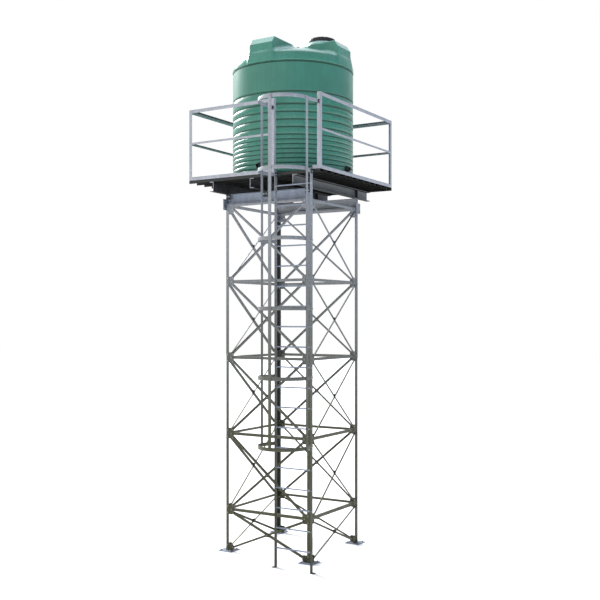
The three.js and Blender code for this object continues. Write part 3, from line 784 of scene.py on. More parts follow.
ANCHOR = Bolt(21.9 * MM, 10 * MM, 28 * MM)
CAGE_BOLT = Bolt(18 * MM, 6 * MM, 21 * MM, 2 * MM)


def angle_outline(size: float, thickness: float) -> Array:
    """Section of a hot-rolled angle with its heel at the origin.

    Args:
        size: Length of both legs.
        thickness: Of both legs.

    Returns:
        The outline: a fillet as large as the thickness in the root, and round inner toes.
    """
    toe, root, edge = 0.7 * thickness, thickness, 0.25 * thickness
    return rounded(
        [(0, 0), (size, 0), (size, thickness), (thickness, thickness), (thickness, size), (0, size)],
        [edge, edge, toe, root, toe, edge], 3)


def angle_in(node: str, thickness: float, heel: Array, run: int | None = None) -> Surface:
    """A hot-rolled angle that fills a node's box.

    Args:
        node: A node whose box holds one straight angle.
        thickness: Of the angle.
        heel: Signs that say on which side of the box its heel lies; 0 along its run.
        run: The axis that it runs along, where that isn't the longest of the box.

    Returns:
        The angle's surface.
    """
    low, high = box_of(node)
    run = int(np.argmax(high - low)) if run is None else run
    a, b = [k for k in range(3) if k != run]
    corner = np.where(np.asarray(heel) > 0, high, low)
    start, end = corner.copy(), corner.copy()
    start[run], end[run] = low[run], high[run]
    across, up = np.eye(3)[a] * -np.sign(heel[a]), np.eye(3)[b] * -np.sign(heel[b])
    return bar(angle_outline(high[a] - low[a], thickness), across, up, start, end)


# ------------------------------------------------------------------ the stand


@dataclass
class Stand:
    """Four legs on base plates, and the bolted lattice between them."""

    finishes: Finishes
    leg_thickness: float = 5 * MM
    gusset_face: float = 5.3 * MM          # from the legs' outer face
    gusset_thickness: float = 6 * MM
    gusset_reach: float = 130 * MM
    gusset_near: float = 14.3 * MM
    gusset_height: float = 145 * MM
    gusset_cut: float = 18 * MM
    base_gusset: float = 94 * MM
    horizontal: tuple[float, float] = (40 * MM, 4 * MM)
    diagonal: tuple[float, float] = (30 * MM, 3 * MM)
    diagonal_end: tuple[float, float] = (104 * MM, 48 * MM)
    base_diagonal: float = 54 * MM
    packing: float = 60 * MM
    leg_bolt: float = 30 * MM              # the leg's bolts, from its outer edge
    bar_bolt: float = 92 * MM              # the horizontals' bolts, from the same edge
    end_bolt: float = 20 * MM              # a diagonal's bolt, from its end
    anchor_inset: float = 32 * MM
    anchor_clear: float = 60 * MM          # no anchor nearer the leg than this
    levels: tuple[float, ...] = (0.613, 1.736, 2.859, 3.982, 5.105)

    # Which edge the free leg of each side's outer and inner diagonals stands on: 1 is the upper.
    free_legs: ClassVar[dict[Side, tuple[int, int]]] = {
        Side.FRONT: (1, 1), Side.RIGHT: (1, 1), Side.REAR: (-1, 1), Side.LEFT: (-1, 1)}

    def __post_init__(self) -> None:
        """Reads the legs' place from the frame."""
        low, high = box_of("leg_front_left")
        far = box_of("leg_rear_right")[1]
        self.half = float(far[0] - low[0]) / 2
        self.centre = np.array([(low[0] + far[0]) / 2, (low[1] + far[1]) / 2, 0.0])
        self.foot, self.top = float(low[2]), float(high[2])

    @property
    def gusset_back(self) -> float:
        """The gussets' inner face, in from the legs' outer face."""
        return self.gusset_face + self.gusset_thickness

    def at(self, across: float, inward: float, height: float) -> Array:
        """A point of the front side's plane: across, in from the legs' face, and up."""
        return self.centre + np.array([across, inward - self.half, height])

    def gusset(self, z0: float, z1: float) -> list[Surface]:
        """The two gusset plates of a level.

        Args:
            z0: Their lower edge.
            z1: Their upper edge.

        Returns:
            Plates with their two free corners cut off and their edges eased.
        """
        near, far = self.half - self.gusset_near, self.half - self.gusset_reach
        cut = self.gusset_cut
        outline = np.array([(near, z0), (near, z1), (far + cut, z1), (far, z1 - cut),
                            (far, z0 + cut), (far + cut, z0)])
        plates = []
        for sign in (-1, 1):
            shape = rounded(outline * (sign, 1), 3 * MM, 2)
            plates.append(bar(shape, X, Z, self.at(0, self.gusset_face, 0),
                              self.at(0, self.gusset_back, 0)))
        return plates

    def level_bar(self, level: float) -> Surface:
        """A horizontal angle on the gussets' inner faces, one leg flat on top."""
        size, thickness = self.horizontal
        back = self.gusset_back
        end = self.half - back - size - 0.6 * MM
        z = level + size / 2
        return bar(angle_outline(size, thickness), Y, -Z,
                   self.at(-end, back, z), self.at(end, back, z))

    def brace(self, start: tuple[float, float], end: tuple[float, float], sign: int,
              free_leg: int) -> Surface:
        """A diagonal angle between two points of the side.

        Args:
            start: Across and height of one end.
            end: Across and height of the other.
            sign: -1 outside the gussets, 1 inside.
            free_leg: 1 with the free leg along the upper edge, -1 along the lower.

        Returns:
            The angle, flat on the gussets, its free leg standing away from them.
        """
        size, thickness = self.diagonal
        flat = self.gusset_face if sign < 0 else self.gusset_back
        p, q = self.at(start[0], flat, start[1]), self.at(end[0], flat, end[1])
        along = (q - p) / np.linalg.norm(q - p)
        out = Y * sign
        outline = angle_outline(size, thickness) - (size / 2, 0)
        across = np.cross(out, along)
        across *= -free_leg * math.copysign(1, across[2])
        return bar(outline, across, out, p, q)

    def panels(self) -> list[tuple[float, float]]:
        """Heights of the lower and upper ends of the crossed diagonals, panel by panel."""
        rise = self.diagonal_end[1]
        lows = (self.base_diagonal,) + tuple(level + rise for level in self.levels[:-1])
        return [(low, level - rise) for low, level in zip(lows, self.levels)]

    def side(self, side: Side) -> Surface:
        """All the bracing of a side, placed at the front."""
        outer, inner = self.free_legs[side]
        half = self.gusset_height / 2
        parts = self.gusset(self.foot, self.foot + self.base_gusset)
        parts += self.gusset(self.top - self.gusset_height, self.top - 0.3 * MM)
        for level in self.levels[:-1]:
            parts += self.gusset(level - half, level + half)
        parts += [self.level_bar(level) for level in self.levels]
        reach = self.half - self.diagonal_end[0]
        pack, back = self.packing / 2, self.gusset_back
        for low, high in self.panels():
            middle = (low + high) / 2
            parts += [self.brace((-reach, low), (reach, high), -1, outer),
                      self.brace((reach, low), (-reach, high), 1, inner),
                      plate(self.at(-pack, self.gusset_face, middle - pack),
                            self.at(pack, back, middle + pack))]
        return joined(parts)

    def side_bolts(self) -> Surface:
        """The bolts of the front side: legs, diagonal ends, horizontals and crossings."""
        face, plate_grip = self.gusset_face, self.gusset_thickness
        thin = self.diagonal[1]
        points, grips = [], []
        leg_x, bar_x = self.half - self.leg_bolt, self.half - self.bar_bolt
        reach = self.half - self.diagonal_end[0]
        for level, spread in [(self.foot + self.base_gusset / 2, 32 * MM)] + [
                (level, 48 * MM) for level in self.levels[:-1]] + [(self.top - 74 * MM, 48 * MM)]:
            for sign in (-1, 1):
                points += [self.at(sign * leg_x, 0, level + step) for step in (-spread, spread)]
                grips += [face + plate_grip] * 2
        for level in self.levels:
            for sign in (-1, 1):
                points.append(self.at(sign * bar_x, face, level))
                grips.append(plate_grip + self.horizontal[1])
        for low, high in self.panels():
            slope = np.array([2 * reach, high - low])
            step = self.end_bolt * slope / np.linalg.norm(slope)
            for sign, lift in ((1, thin), (-1, 0.0)):
                points += [self.at(-sign * (reach - step[0]), face - lift, low + step[1]),
                           self.at(sign * (reach - step[0]), face - lift, high - step[1])]
                grips += [plate_grip + thin] * 2
            points.append(self.at(0, face - thin, (low + high) / 2))
            grips.append(plate_grip + 2 * thin)
        return Bolt().through(np.array(points), -Y, np.array(grips))

    def foot_parts(self, corner: str) -> tuple[Surface, Surface]:
        """A base plate and its anchor bolts.

        Args:
            corner: Which leg.

        Returns:
            The plate, and the nuts and studs on it.
        """
        low, high = box_of("base_plate_" + corner)
        sheet = plate(low, high, 1.2 * MM)
        middle, spread = (low + high) / 2, (high - low)[0] / 2 - self.anchor_inset
        leg = sum(box_of("leg_" + corner)) / 2
        spots = np.array([(middle[0] + a * spread, middle[1] + b * spread, high[2])
                          for a in (-1, 1) for b in (-1, 1)])
        spots = spots[np.linalg.norm(spots[:, :2] - leg[:2], axis=1) > self.anchor_clear]
        anchor = ANCHOR.head_surface(7 * MM)
        return sheet, repeated(anchor, spots, directions(np.tile(Z, (len(spots), 1))))

    def build(self) -> None:
        """Makes and dresses the legs, the base plates, the lattice and its bolts."""
        steel, zinc, bolt = self.finishes.steel, self.finishes.zinc, self.finishes.bolt
        for corner in CORNERS:
            middle = sum(box_of("leg_" + corner)) / 2
            heel = np.sign(middle - self.centre) * (1, 1, 0)
            # the rear-left leg takes the shaded copy of the steel: painted shade
            skin = self.finishes.shaded if corner == "rear_left" else steel
            make(f"leg_{corner}_angle", angle_in("leg_" + corner, self.leg_thickness, heel),
                 skin, ["leg_" + corner])
            sheet, anchors = self.foot_parts(corner)
            make(f"foot_{corner}_plate", sheet, zinc, ["base_plate_" + corner])
            make(f"foot_{corner}_anchors", anchors, bolt)
        bolts = self.side_bolts()
        for side in Side:
            lattice = turned(self.side(side), side, self.centre)
            make(f"lattice_{side.label}", lattice, steel,
                 ["bracing_" + side.label])
            make(f"lattice_bolts_{side.label}", turned(bolts, side, self.centre), bolt)


@dataclass
class Grillage:
    """The two I beams on the legs and the three channels that carry the deck."""

    finishes: Finishes
    stand: Stand
    beam: tuple[float, float, float, float] = (73 * MM, 140 * MM, 5 * MM, 7 * MM)
    end_plate: tuple[float, float, float] = (130 * MM, 160 * MM, 8 * MM)
    channel: tuple[float, float, float, float] = (66 * MM, 140 * MM, 6 * MM, 8 * MM)
    cleat: tuple[float, float, float] = (74 * MM, 28 * MM, 8 * MM)   # width, past the web, thick
    lit_end: float = 4 * MM              # the end slice, in the light rail finish: painted light on the lit end face

    def i_outline(self) -> Array:
        """Section of the I beam, with fillets in its four roots."""
        width, height, web, flange = self.beam
        x, y, w, f = width / 2, height / 2, web / 2, height / 2 - flange
        corners = [(-x, -y), (x, -y), (x, -f), (w, -f), (w, f), (x, f),
                   (x, y), (-x, y), (-x, f), (-w, f), (-w, -f), (-x, -f)]
        return rounded(corners, [MM, MM, 3 * MM, 6 * MM, 6 * MM, 3 * MM] * 2, 3)

    def c_outline(self, facing: int) -> Array:
        """Section of the channel, its back on x = 0 and its flanges towards facing."""
        width, height, web, flange = self.channel
        corners = np.array([(0, 0), (width, 0), (width, flange), (web, flange),
                            (web, height - flange), (width, height - flange), (width, height),
                            (0, height)])
        outline = rounded(corners, [MM, MM, 4 * MM, 7 * MM, 7 * MM, 4 * MM, MM, MM], 3)
        return outline * (facing, 1)

    def build(self) -> None:
        """Makes and dresses the beams, the channels, their end plates, cleats and bolts."""
        steel, dark = self.finishes.steel, self.finishes.dark
        points, normals, grips = [], [], []
        for side in (Side.FRONT, Side.REAR):
            low, high = box_of("beam_" + side.label)
            sign = side.outward[1]
            width, height, thick = self.end_plate
            inner = low[1] if sign > 0 else high[1]
            middle = np.array([0, inner + sign * self.beam[0] / 2, high[2] - self.beam[1] / 2])
            ends = [middle + X * (low[0] + thick), middle + X * (high[0] - thick)]
            rail = bar(self.i_outline(), Y, Z, *ends)
            outer = high[1] if sign > 0 else low[1]
            plates = []
            for x in (low[0], high[0] - thick):
                ys = sorted((outer, outer - sign * width))
                plates.append(plate((x, ys[0], low[2]), (x + thick, ys[1], low[2] + height)))
                face = 1 if x > 0 else -1
                leg_y = self.stand.centre[1] + sign * (self.stand.half - 28 * MM)
                for z in (25 * MM, 60 * MM):
                    points.append((x + (thick if face > 0 else 0), leg_y, low[2] + z))
                    normals.append((face, 0, 0))
                    grips.append(thick + self.stand.leg_thickness)
                for y, z in ((20 * MM, 30 * MM), (20 * MM, 130 * MM)):
                    points.append((x + (thick if face > 0 else 0), outer - sign * y, low[2] + z))
                    normals.append((face, 0, 0))
                    grips.append(thick)
            skin = self.finishes.zinc if side is Side.FRONT else steel
            make(f"beam_{side.label}_rolled", joined([rail, *plates]), skin,
                 ["beam_" + side.label])
        for name, facing in (("left", -1), ("middle", 1), ("right", 1)):
            low, high = box_of("bearer_" + name)
            width, behind, thick = self.cleat
            web = low[0] + behind if facing > 0 else high[0] - behind
            start = np.array([web, low[1], high[2] - self.channel[1]])
            cut = start + Y * self.lit_end
            body = bar(self.c_outline(facing), X, Z, cut, start + Y * (high[1] - low[1]))
            # painted shade: the bearers under the deck take shaded copies of the steel, the right
            # one half shaded
            skin = self.finishes.half_shaded if name == "right" else self.finishes.shaded
            make(f"bearer_{name}_channel", body, skin, ["bearer_" + name])
            # painted light: the end slice takes the light rail finish, the lit end of a channel in
            # painted shade
            make(f"bearer_{name}_end", bar(self.c_outline(facing), X, Z, start, cut),
                 self.finishes.rail)
            cleats = []
            x0 = web - behind if facing > 0 else web + behind - width
            for sign in (-1, 1):
                face = self.stand.centre[1] + sign * (self.stand.half + 0.3 * MM)
                ys = sorted((face, face + sign * thick))
                cleats.append(plate((x0, ys[0], low[2]), (x0 + width, ys[1], high[2] - 4 * MM)))
                for x in (18 * MM, width - 18 * MM):
                    points.append((x0 + x, face + sign * thick, low[2] + 45 * MM))
                    normals.append((0, sign, 0))
                    grips.append(thick)
            make(f"bearer_{name}_cleats", joined(cleats), dark)
        make("grillage_bolts", Bolt().through(np.array(points), np.array(normals), np.array(grips)),
             self.finishes.bolt)


@dataclass
class Platform:
    """The planked deck, its edge angles and the handrail."""

    finishes: Finishes
    planks: int = 3
    sheet: float = 3 * MM
    lip: float = 14 * MM
    edge: float = 5 * MM
    mid: float = 4 * MM
    play: float = 1.2 * MM               # between two planks

    def bay(self, node: str) -> Surface:
        """A bay of planks.

        Args:
            node: The bay's node.

        Returns:
            Folded C sections side by side, open downwards, with bends of about the sheet's
            thickness.
        """
        low, high = box_of(node)
        pitch, height, t = (high[1] - low[1]) / self.planks, high[2] - low[2], self.sheet
        width = pitch - self.play
        corners = [(0, 0), (self.lip, 0), (self.lip, t), (t, t), (t, height - t),
                   (width - t, height - t), (width - t, t), (width - self.lip, t),
                   (width - self.lip, 0), (width, 0), (width, height), (0, height)]
        bend, inner, edge = 1.6 * t, 0.6 * t, 0.3 * t
        outline = rounded(corners, [bend, edge, edge, inner, inner, inner, inner, edge, edge,
                                    bend, bend, bend], 4)
        run = X * (high[0] - low[0])
        starts = [low + Y * (k * pitch + self.play / 2) for k in range(self.planks)]
        return joined([bar(outline, Y, Z, start, start + run) for start in starts])

    def build(self) -> None:
        """Makes and dresses the deck, the edge angles, the rails and the posts."""
        deck, rail = self.finishes.deck, self.finishes.rail
        for k in range(1, 5):
            make(f"deck_planks_{k}", self.bay(f"deck_bay_{k}"), deck, [f"deck_bay_{k}"])
        for side in Side:
            for kind, up, thick in (("edge_angle", -1, self.edge), ("top_rail", 1, self.edge),
                                    ("mid_rail", 1, self.mid)):
                node = f"{kind}_{side.label}"
                make(f"{node}_rolled", angle_in(node, thick, side.outward + Z * up), rail,
                     [node])
        make("edge_angle_gate_rolled",
             angle_in("edge_angle_gate", self.edge, Side.FRONT.outward - Z, run=0),
             rail, ["edge_angle_gate"])
        centre = sum(box_of("deck_bay_1")[k] + box_of("deck_bay_4")[k] for k in (0, 1)) / 4
        for corner in CORNERS:
            node = "post_" + corner
            low, high = box_of(node)
            heel = np.sign((low + high) / 2 - centre) * (1, 1, 0)
            cap = plate(low + (MM, MM, high[2] - low[2] - self.edge), high - (MM, MM, 0))
            make(f"{node}_rolled", joined([angle_in(node, self.edge, heel), cap]), rail,
                 [node])
        make("post_gate_rolled", angle_in("post_gate", self.edge, X - Y), rail,
             ["post_gate"])


@dataclass
class CatLadder:
    """The ladder, its cage of hoops and straps, and the brackets that hold them."""

    finishes: Finishes
    stile: tuple[float, float] = (8 * MM, 60 * MM)
    foot: tuple[float, float] = (50 * MM, 8 * MM)
    rung: float = 20 * MM
    pitch: float = 277 * MM
    rungs: int = 19
    hoop: tuple[float, float] = (6 * MM, 50 * MM)
    hoop_radius: float = 353 * MM
    hoop_out: float = 236 * MM           # from the stiles' middle to the round part's centre
    tab: float = 56 * MM
    seat: float = 25.3 * MM              # half of the straight beside a strap
    top_foot: tuple[float, float] = (44 * MM, 20 * MM)

    def __post_init__(self) -> None:
        """Reads the ladder's place from the frame."""
        low, high = box_of("ladder")
        self.x = float(low[0] + high[0]) / 2
        self.y = float(low[1] + high[1]) / 2
        self.top = float(high[2])
        self.half = float(high[0] - low[0]) / 2 - self.foot[0] - self.stile[0] / 2

    def stiles(self) -> Surface:
        """The two flat stiles, each with a foot plate turned out at the ground."""
        parts = []
        wide, deep = self.stile
        section = rounded([(-wide / 2, -deep / 2), (wide / 2, -deep / 2), (wide / 2, deep / 2),
                           (-wide / 2, deep / 2)], 1.5 * MM, 3)
        for sign in (-1, 1):
            at = np.array([self.x + sign * self.half, self.y, 0.0])
            parts.append(bar(section, X, Y, at, at + Z * self.top))
            reach = sorted((at[0], at[0] + sign * (wide / 2 + self.foot[0])))
            parts.append(plate((reach[0], self.y - deep / 2, 0),
                               (reach[1], self.y + deep / 2, self.foot[1])))
        return joined(parts)

    def rung_set(self, hoops: Sequence[float]) -> tuple[Surface, Surface]:
        """The rungs and their welds.

        Args:
            hoops: Heights of the hoops, which cover the welds beside them.

        Returns:
            Round bars through the stiles; and on each stile a raised ring inside and a
            domed plug outside.
        """
        heights = self.pitch * np.arange(1, self.rungs + 1)
        turn = np.linspace(0, 2 * math.pi, 16, endpoint=False)
        circle = np.stack([np.cos(turn), np.sin(turn)], 1) * self.rung / 2
        width = self.half * 2
        rod = stacked([circle, circle], [-width / 2, width / 2], (1, 2, 0))
        axes = np.tile(np.eye(3), (len(heights), 1, 1))
        where = np.stack([np.full_like(heights, self.x), np.full_like(heights, self.y), heights], 1)
        rods = repeated(rod, where, axes)
        bead = stacked([circle * 1.5, circle * 1.35, circle * 0.99], [0, 2.5 * MM, 4.5 * MM])
        plug = stacked([circle * 1.1, circle * 1.0, circle * 0.6], [0, 1.2 * MM, 2.2 * MM])
        free = heights[np.abs(heights[:, None] - np.asarray(hoops)).min(1) > 40 * MM]
        welds = []
        for sign in (-1, 1):
            inner = self.x + sign * (self.half - self.stile[0] / 2)
            outer = self.x + sign * (self.half + self.stile[0] / 2)
            for shape, x, level, way in ((bead, inner, heights, -sign), (plug, outer, free, sign)):
                spots = np.stack([np.full_like(level, x), np.full_like(level, self.y), level], 1)
                welds.append(repeated(shape, spots, directions(np.tile(X * way, (len(spots), 1)))))
        return rods, joined(welds)

    def hoop_path(self, level: float, reach: tuple[float, float], back: float) -> Array:
        """Middle line of a hoop in plan.

        Args:
            level: Height of its middle.
            reach: Left and right ends from the ladder's middle, to the bar's outer side.
            back: Y of its two ends.

        Returns:
            A straight tab, a splayed arm, a straight seat beside the strap, a half circle, and
            the same back: the half circle is centre + radius (cos a, -sin a).
        """
        half, radius = self.hoop[0] / 2, self.hoop_radius - self.hoop[0] / 2
        centre = self.y - self.hoop_out
        turn = np.linspace(0, math.pi, 73)
        arc = np.stack([radius * np.cos(turn), centre - radius * np.sin(turn)], 1)
        seat = centre + self.seat
        right = [(reach[1] - half, back), (reach[1] - half, back - self.tab), (radius, seat)]
        left = [(-radius, seat), (half - reach[0], back - self.tab), (half - reach[0], back)]
        plan = np.concatenate([right, arc, left]) + (self.x, 0)
        return np.column_stack([plan, np.full(len(plan), level)])

    def build(self) -> None:
        """Makes and dresses the ladder, the cage, the brackets and the bolts."""
        steel, zinc, dark = self.finishes.steel, self.finishes.zinc, self.finishes.dark
        names = [f"cage_hoop_{k}" for k in range(1, 6)]
        levels = [float(sum(box_of(name))[2]) / 2 for name in names]
        make("ladder_stiles", self.stiles(), steel, ["ladder"])
        rods, welds = self.rung_set(levels)
        make("ladder_rungs", rods, zinc)
        make("ladder_welds", welds, self.finishes.bolt)
        thick, tall = self.hoop
        tab_side = self.half + self.stile[0] / 2 + 0.3 * MM
        points, normals, grips, plates = [], [], [], []
        for name, level in zip(names, levels):
            back = float(box_of(name)[1][1])
            side = tab_side + thick
            for sign in (-1, 1):
                xs = sorted((self.x + sign * side, self.x + sign * (side + 2 * MM)))
                plates.append(plate((xs[0], back - 50 * MM, level - 22 * MM),
                                    (xs[1], back - 2 * MM, level + 22 * MM), 0.5 * MM))
            make(name + "_bar", ribbon(self.hoop_path(level, (side, side), back), thick, tall, MM),
                 steel, [name])
            for sign in (-1, 1):
                for y in (12 * MM, 40 * MM):
                    points.append((self.x + sign * (side + 2 * MM), back - y, level))
                    normals.append((sign, 0, 0))
                    grips.append(thick + self.stile[0] + 2 * MM)
        make("cage_tab_washers", joined(plates), self.finishes.bolt)
        low, high = box_of("cage_hoop_top")
        level = float(low[2] + high[2]) / 2
        wide, back_in = self.top_foot
        reach = (self.x - float(low[0]) - back_in, float(high[0]) - back_in - self.x)
        parts = [ribbon(self.hoop_path(level, reach, float(high[1])), thick, tall, MM)]
        for x in (float(low[0]), float(high[0]) - wide):
            parts.append(plate((x, high[1] - thick, low[2]), (x + wide, high[1], high[2])))
            points.append((x + (8 * MM if x < self.x else wide - 8 * MM), high[1] - thick, level))
            normals.append((0, -1, 0))
            grips.append(thick + 5 * MM)
        make("cage_hoop_top_bar", joined(parts), steel, ["cage_hoop_top"])
        for name in ("front", "left", "right"):
            node = "cage_strap_" + name
            low, high = box_of(node)
            run = rounded([(low[0], low[1]), (high[0], low[1]), (high[0], high[1]),
                           (low[0], high[1])], 1.4 * MM, 3)
            body = bar(run, X, Y, Z * low[2], Z * high[2])
            make(node + "_bar", body, steel, [node])
        make("cage_bolts", CAGE_BOLT.through(
            np.array(points), np.array(normals), np.array(grips)), self.finishes.bolt)
        self.brackets(dark)

    def brackets(self, dark: bpy.types.Material) -> None:
        """Angle brackets between the stiles' tops and the deck, and at the top hoop's ends."""
        deck = float(box_of("deck_bay_1")[1][2])
        parts = []
        for sign in (-1, 1):
            inner = self.x + sign * (self.half - 4.3 * MM)
            x0, x1 = sorted((inner, self.x + sign * (self.half - 56 * MM)))
            y = self.y + self.stile[1] / 2
            parts.append(plate((x0, y - 6 * MM, deck - 62 * MM), (x1, y - 0.3 * MM, deck - 2 * MM)))
            xs = sorted((inner, inner - sign * 6 * MM))
            parts.append(plate((xs[0], self.y - 26 * MM, deck - 62 * MM),
                               (xs[1], y - 6 * MM, deck - 2 * MM)))
        low, high = box_of("cage_hoop_5")
        face = self.x + self.half + self.stile[0] / 2 + 0.3 * MM + self.hoop[0] + 2 * MM
        parts.append(plate((face, high[1] - 56 * MM, low[2] - 4 * MM),
                           (face + 6 * MM, high[1], high[2] + 8 * MM)))
        low, high = box_of("cage_hoop_top")
        for x0, x1 in ((float(low[0]) + 2 * MM, float(low[0]) + 42 * MM),
                       (float(high[0]) - 70 * MM, float(high[0]) - 2 * MM)):
            parts.append(plate((x0, high[1] - 14 * MM, low[2] + 2 * MM),
                               (x1, high[1] - 6.3 * MM, high[2] - 2 * MM)))
        make("ladder_brackets", joined(parts), dark)


# ------------------------------------------------------------------ the tank


@dataclass
class Tank:
    """The roto-moulded tank: ribbed wall, roof with its blocks and neck, lid, vent, outlets."""

    finishes: Finishes
    rib_depth: float = 15 * MM
    first_groove: float = 46 * MM
    close: tuple[int, float] = (8, 67 * MM)
    wide: tuple[int, float] = (4, 107.5 * MM)
    shoulder_band: float = 184 * MM
    band_inset: float = 6 * MM
    wall: float = 8 * MM
    panels: int = 6                      # shallow flats round the ribs
    panel_half: float = math.radians(11.4)
    panel_depth: float = 8 * MM
    outlet_height: float = 152 * MM
    outlet_pad: tuple[float, float] = (62 * MM, 96 * MM)
    segments: int = 264
    rib_steps: int = 9
    grid: float = 10 * MM
    block_half: float = 196 * MM
    block_outer: float = 880 * MM
    block_inner: float = 340 * MM
    block_height: float = 364 * MM
    bevel: tuple[float, float] = (62 * MM, 89 * MM)
    neck: tuple[float, float, float] = (500 * MM, 252 * MM, 397 * MM)   # out, radius, height
    neck_cone: tuple[float, float] = (206 * MM, 57 * MM)                # its top radius, rise
    manhole: float = 184 * MM
    roof_height: float = 393 * MM
    roof_wall: float = 24 * MM

    def __post_init__(self) -> None:
        """Reads the tank's place from the frame."""
        low, high = box_of("tank_wall")
        self.centre = np.array([(low[0] + high[0]) / 2, (low[1] + high[1]) / 2, 0.0])
        self.radius = float(high[0] - low[0]) / 2
        self.base = float(low[2])
        self.rim = float(high[2]) + 0.3 * MM

    def grooves(self) -> Array:
        """Heights of the grooves above the base, from the lowest up."""
        steps = [self.first_groove] + [self.close[1]] * self.close[0]
        steps += [self.wide[1]] * self.wide[0] + [self.shoulder_band]
        return np.cumsum(steps)

    def wall_rows(self) -> tuple[Array, Array]:
        """Outer profile of the wall.

        Returns:
            Heights above the base, and how far each lies inside the full radius. Between two
            grooves the rib is a round bulge: depth times (1 - |2t - 1|^2.8), with t from one
            groove to the next.
        """
        edges = np.concatenate([[-0.2 * self.first_groove], self.grooves()])
        t = 0.5 - 0.5 * np.cos(np.pi * np.linspace(0, 1, self.rib_steps + 1)[:-1])
        heights = (edges[:-1, None] + np.diff(edges)[:, None] * t).ravel()
        bulge = np.tile(1 - np.abs(2 * t - 1) ** 2.8, len(edges) - 1)
        keep = heights >= 0
        heights, bulge = heights[keep], bulge[keep]
        last = edges[-1]
        rise = np.array([0, 5, 12, 20, 30, 60, 120, 200, 280, 340]) * MM
        top = self.rim - self.base - np.array([30, 24, 18, 12, 6, 3, 0.3]) * MM
        band = np.concatenate([last + rise, top])
        ease = np.clip((band - last) / (20 * MM), 0, 1)
        band_inset = self.rib_depth + (self.band_inset - self.rib_depth) * (1 - (1 - ease) ** 2)
        from_rim = self.rim - self.base - band
        band_inset += 7 * MM * np.clip(1 - np.abs(from_rim - 12 * MM) / (10 * MM), 0, 1)
        inset = np.concatenate([self.rib_depth * (1 - bulge), band_inset])
        return np.concatenate([heights, band]), inset

    def wall_surface(self) -> Surface:
        """The wall.

        Returns:
            Radius = full radius - the larger of the rib's inset and the panel's flat, where the
            flat is depth (1 - (a / half)^2) about each panel's middle; round an outlet the ribs
            fade out to a plain pad.
        """
        heights, inset = self.wall_rows()
        inner = self.radius - self.rib_depth - self.wall
        profile = np.concatenate([
            [(inner, 0.0)],
            np.stack([self.radius - inset, heights], 1),
            [(inner, heights[-1]), (inner, heights[-1] / 2)]])
        count, top_groove = len(heights), self.grooves()[-1]

        def reach(angle: Array, row: Array) -> Array:
            outer = (row >= 1) & (row <= count)
            height = profile[:, 1][row]
            ribs = (self.radius - profile[:, 0])[row]
            step = 2 * math.pi / self.panels
            offset = np.mod(angle + step, step) - step / 2
            flat = self.panel_depth * np.clip(1 - (offset / self.panel_half) ** 2, 0, None)
            fade = np.clip((top_groove - height) / (30 * MM), 0, 1)
            wanted = np.maximum(ribs, flat * fade)
            pad = np.zeros(np.broadcast(angle, row).shape)
            for middle in (0.0, -QUARTER):
                swing = np.mod(angle - middle + math.pi, 2 * math.pi) - math.pi
                away = np.hypot(swing * self.radius, height - self.outlet_height)
                near, far = self.outlet_pad
                pad = np.maximum(pad, np.clip((far - away) / (far - near), 0, 1))
            pad = pad * pad * (3 - 2 * pad)
            wanted = wanted * (1 - pad)
            return np.where(outer, ribs - wanted, 0.0)

        surface = revolved(profile, self.segments, reach)
        points = surface.points
        # painted shade on the wall, 0 to 1: the rib's inset in the grooves, and full on the band's
        # top 28 mm for the shadow line under the roof's rim
        inset = np.interp(points[:, 2], heights, inset)
        outer = np.hypot(points[:, 0], points[:, 1]) > inner + 1 * MM
        rims = points[:, 2] > heights[-1] - 28 * MM
        self.wall_groove_shade = np.where(
            outer, np.where(rims, 1.0, np.clip(inset / self.rib_depth, 0, 1)), 0.0)
        return surface.moved(self.centre + Z * self.base)

    def roof_profile(self) -> Array:
        """Outline (r, height above the rim) of the roof's rounded shoulder and dome."""
        shoulder = np.array([(4, 0), (0, 12), (2, 50), (10, 88), (30, 128), (76, 164)]) * MM
        dome = np.array([(0.911, 0.483), (0.815, 0.552), (0.719, 0.621), (0.624, 0.687),
                         (0.516, 0.761), (0.384, 0.858), (0.192, 0.964), (0, 1)])
        dome_radius = self.radius - shoulder[-1, 0]
        return np.concatenate([
            np.stack([self.radius - shoulder[:, 0], shoulder[:, 1]], 1),
            dome * (dome_radius, self.roof_height)])

    def field(self, x: Array, y: Array, z: Array) -> Array:
        """Signed distance, in metres, to the roof's outer skin.

        Args:
            x: Distance from the tank's axis along +X.
            y: The same along +Y.
            z: Height above the rim.

        Returns:
            Negative inside. The dome, the two blocks and the neck are joined by a smooth
            minimum, which leaves a fillet between them; each block is its side outline and its
            width joined by a smooth maximum, which rounds its edges.
        """
        body = self.table(np.hypot(x, y), z)
        high = self.block_height
        drop, run = self.bevel[1], self.bevel[0]
        outline = np.array([(self.block_inner, -0.2), (self.block_outer, -0.2),
                            (self.block_outer, high - drop), (self.block_outer - run, high),
                            (self.block_inner, high)])
        for out, across in ((x, y), (-y, x)):
            profile = polygon_distance(outline, out, z)
            block = smooth_max(profile, np.abs(across) - self.block_half, 12 * MM)
            body = smooth_min(body, block, 70 * MM)
        middle, radius, top = self.neck
        narrow, rise = self.neck_cone
        reach = np.hypot(x - middle, y)
        slope = math.hypot(radius - narrow, rise)
        cone = ((reach - narrow) * rise + (z - top) * (radius - narrow)) / slope
        drum = smooth_max(reach - radius, cone, 14 * MM)
        neck = smooth_max(drum, z - top, 8 * MM)
        return smooth_min(body, neck, 24 * MM)

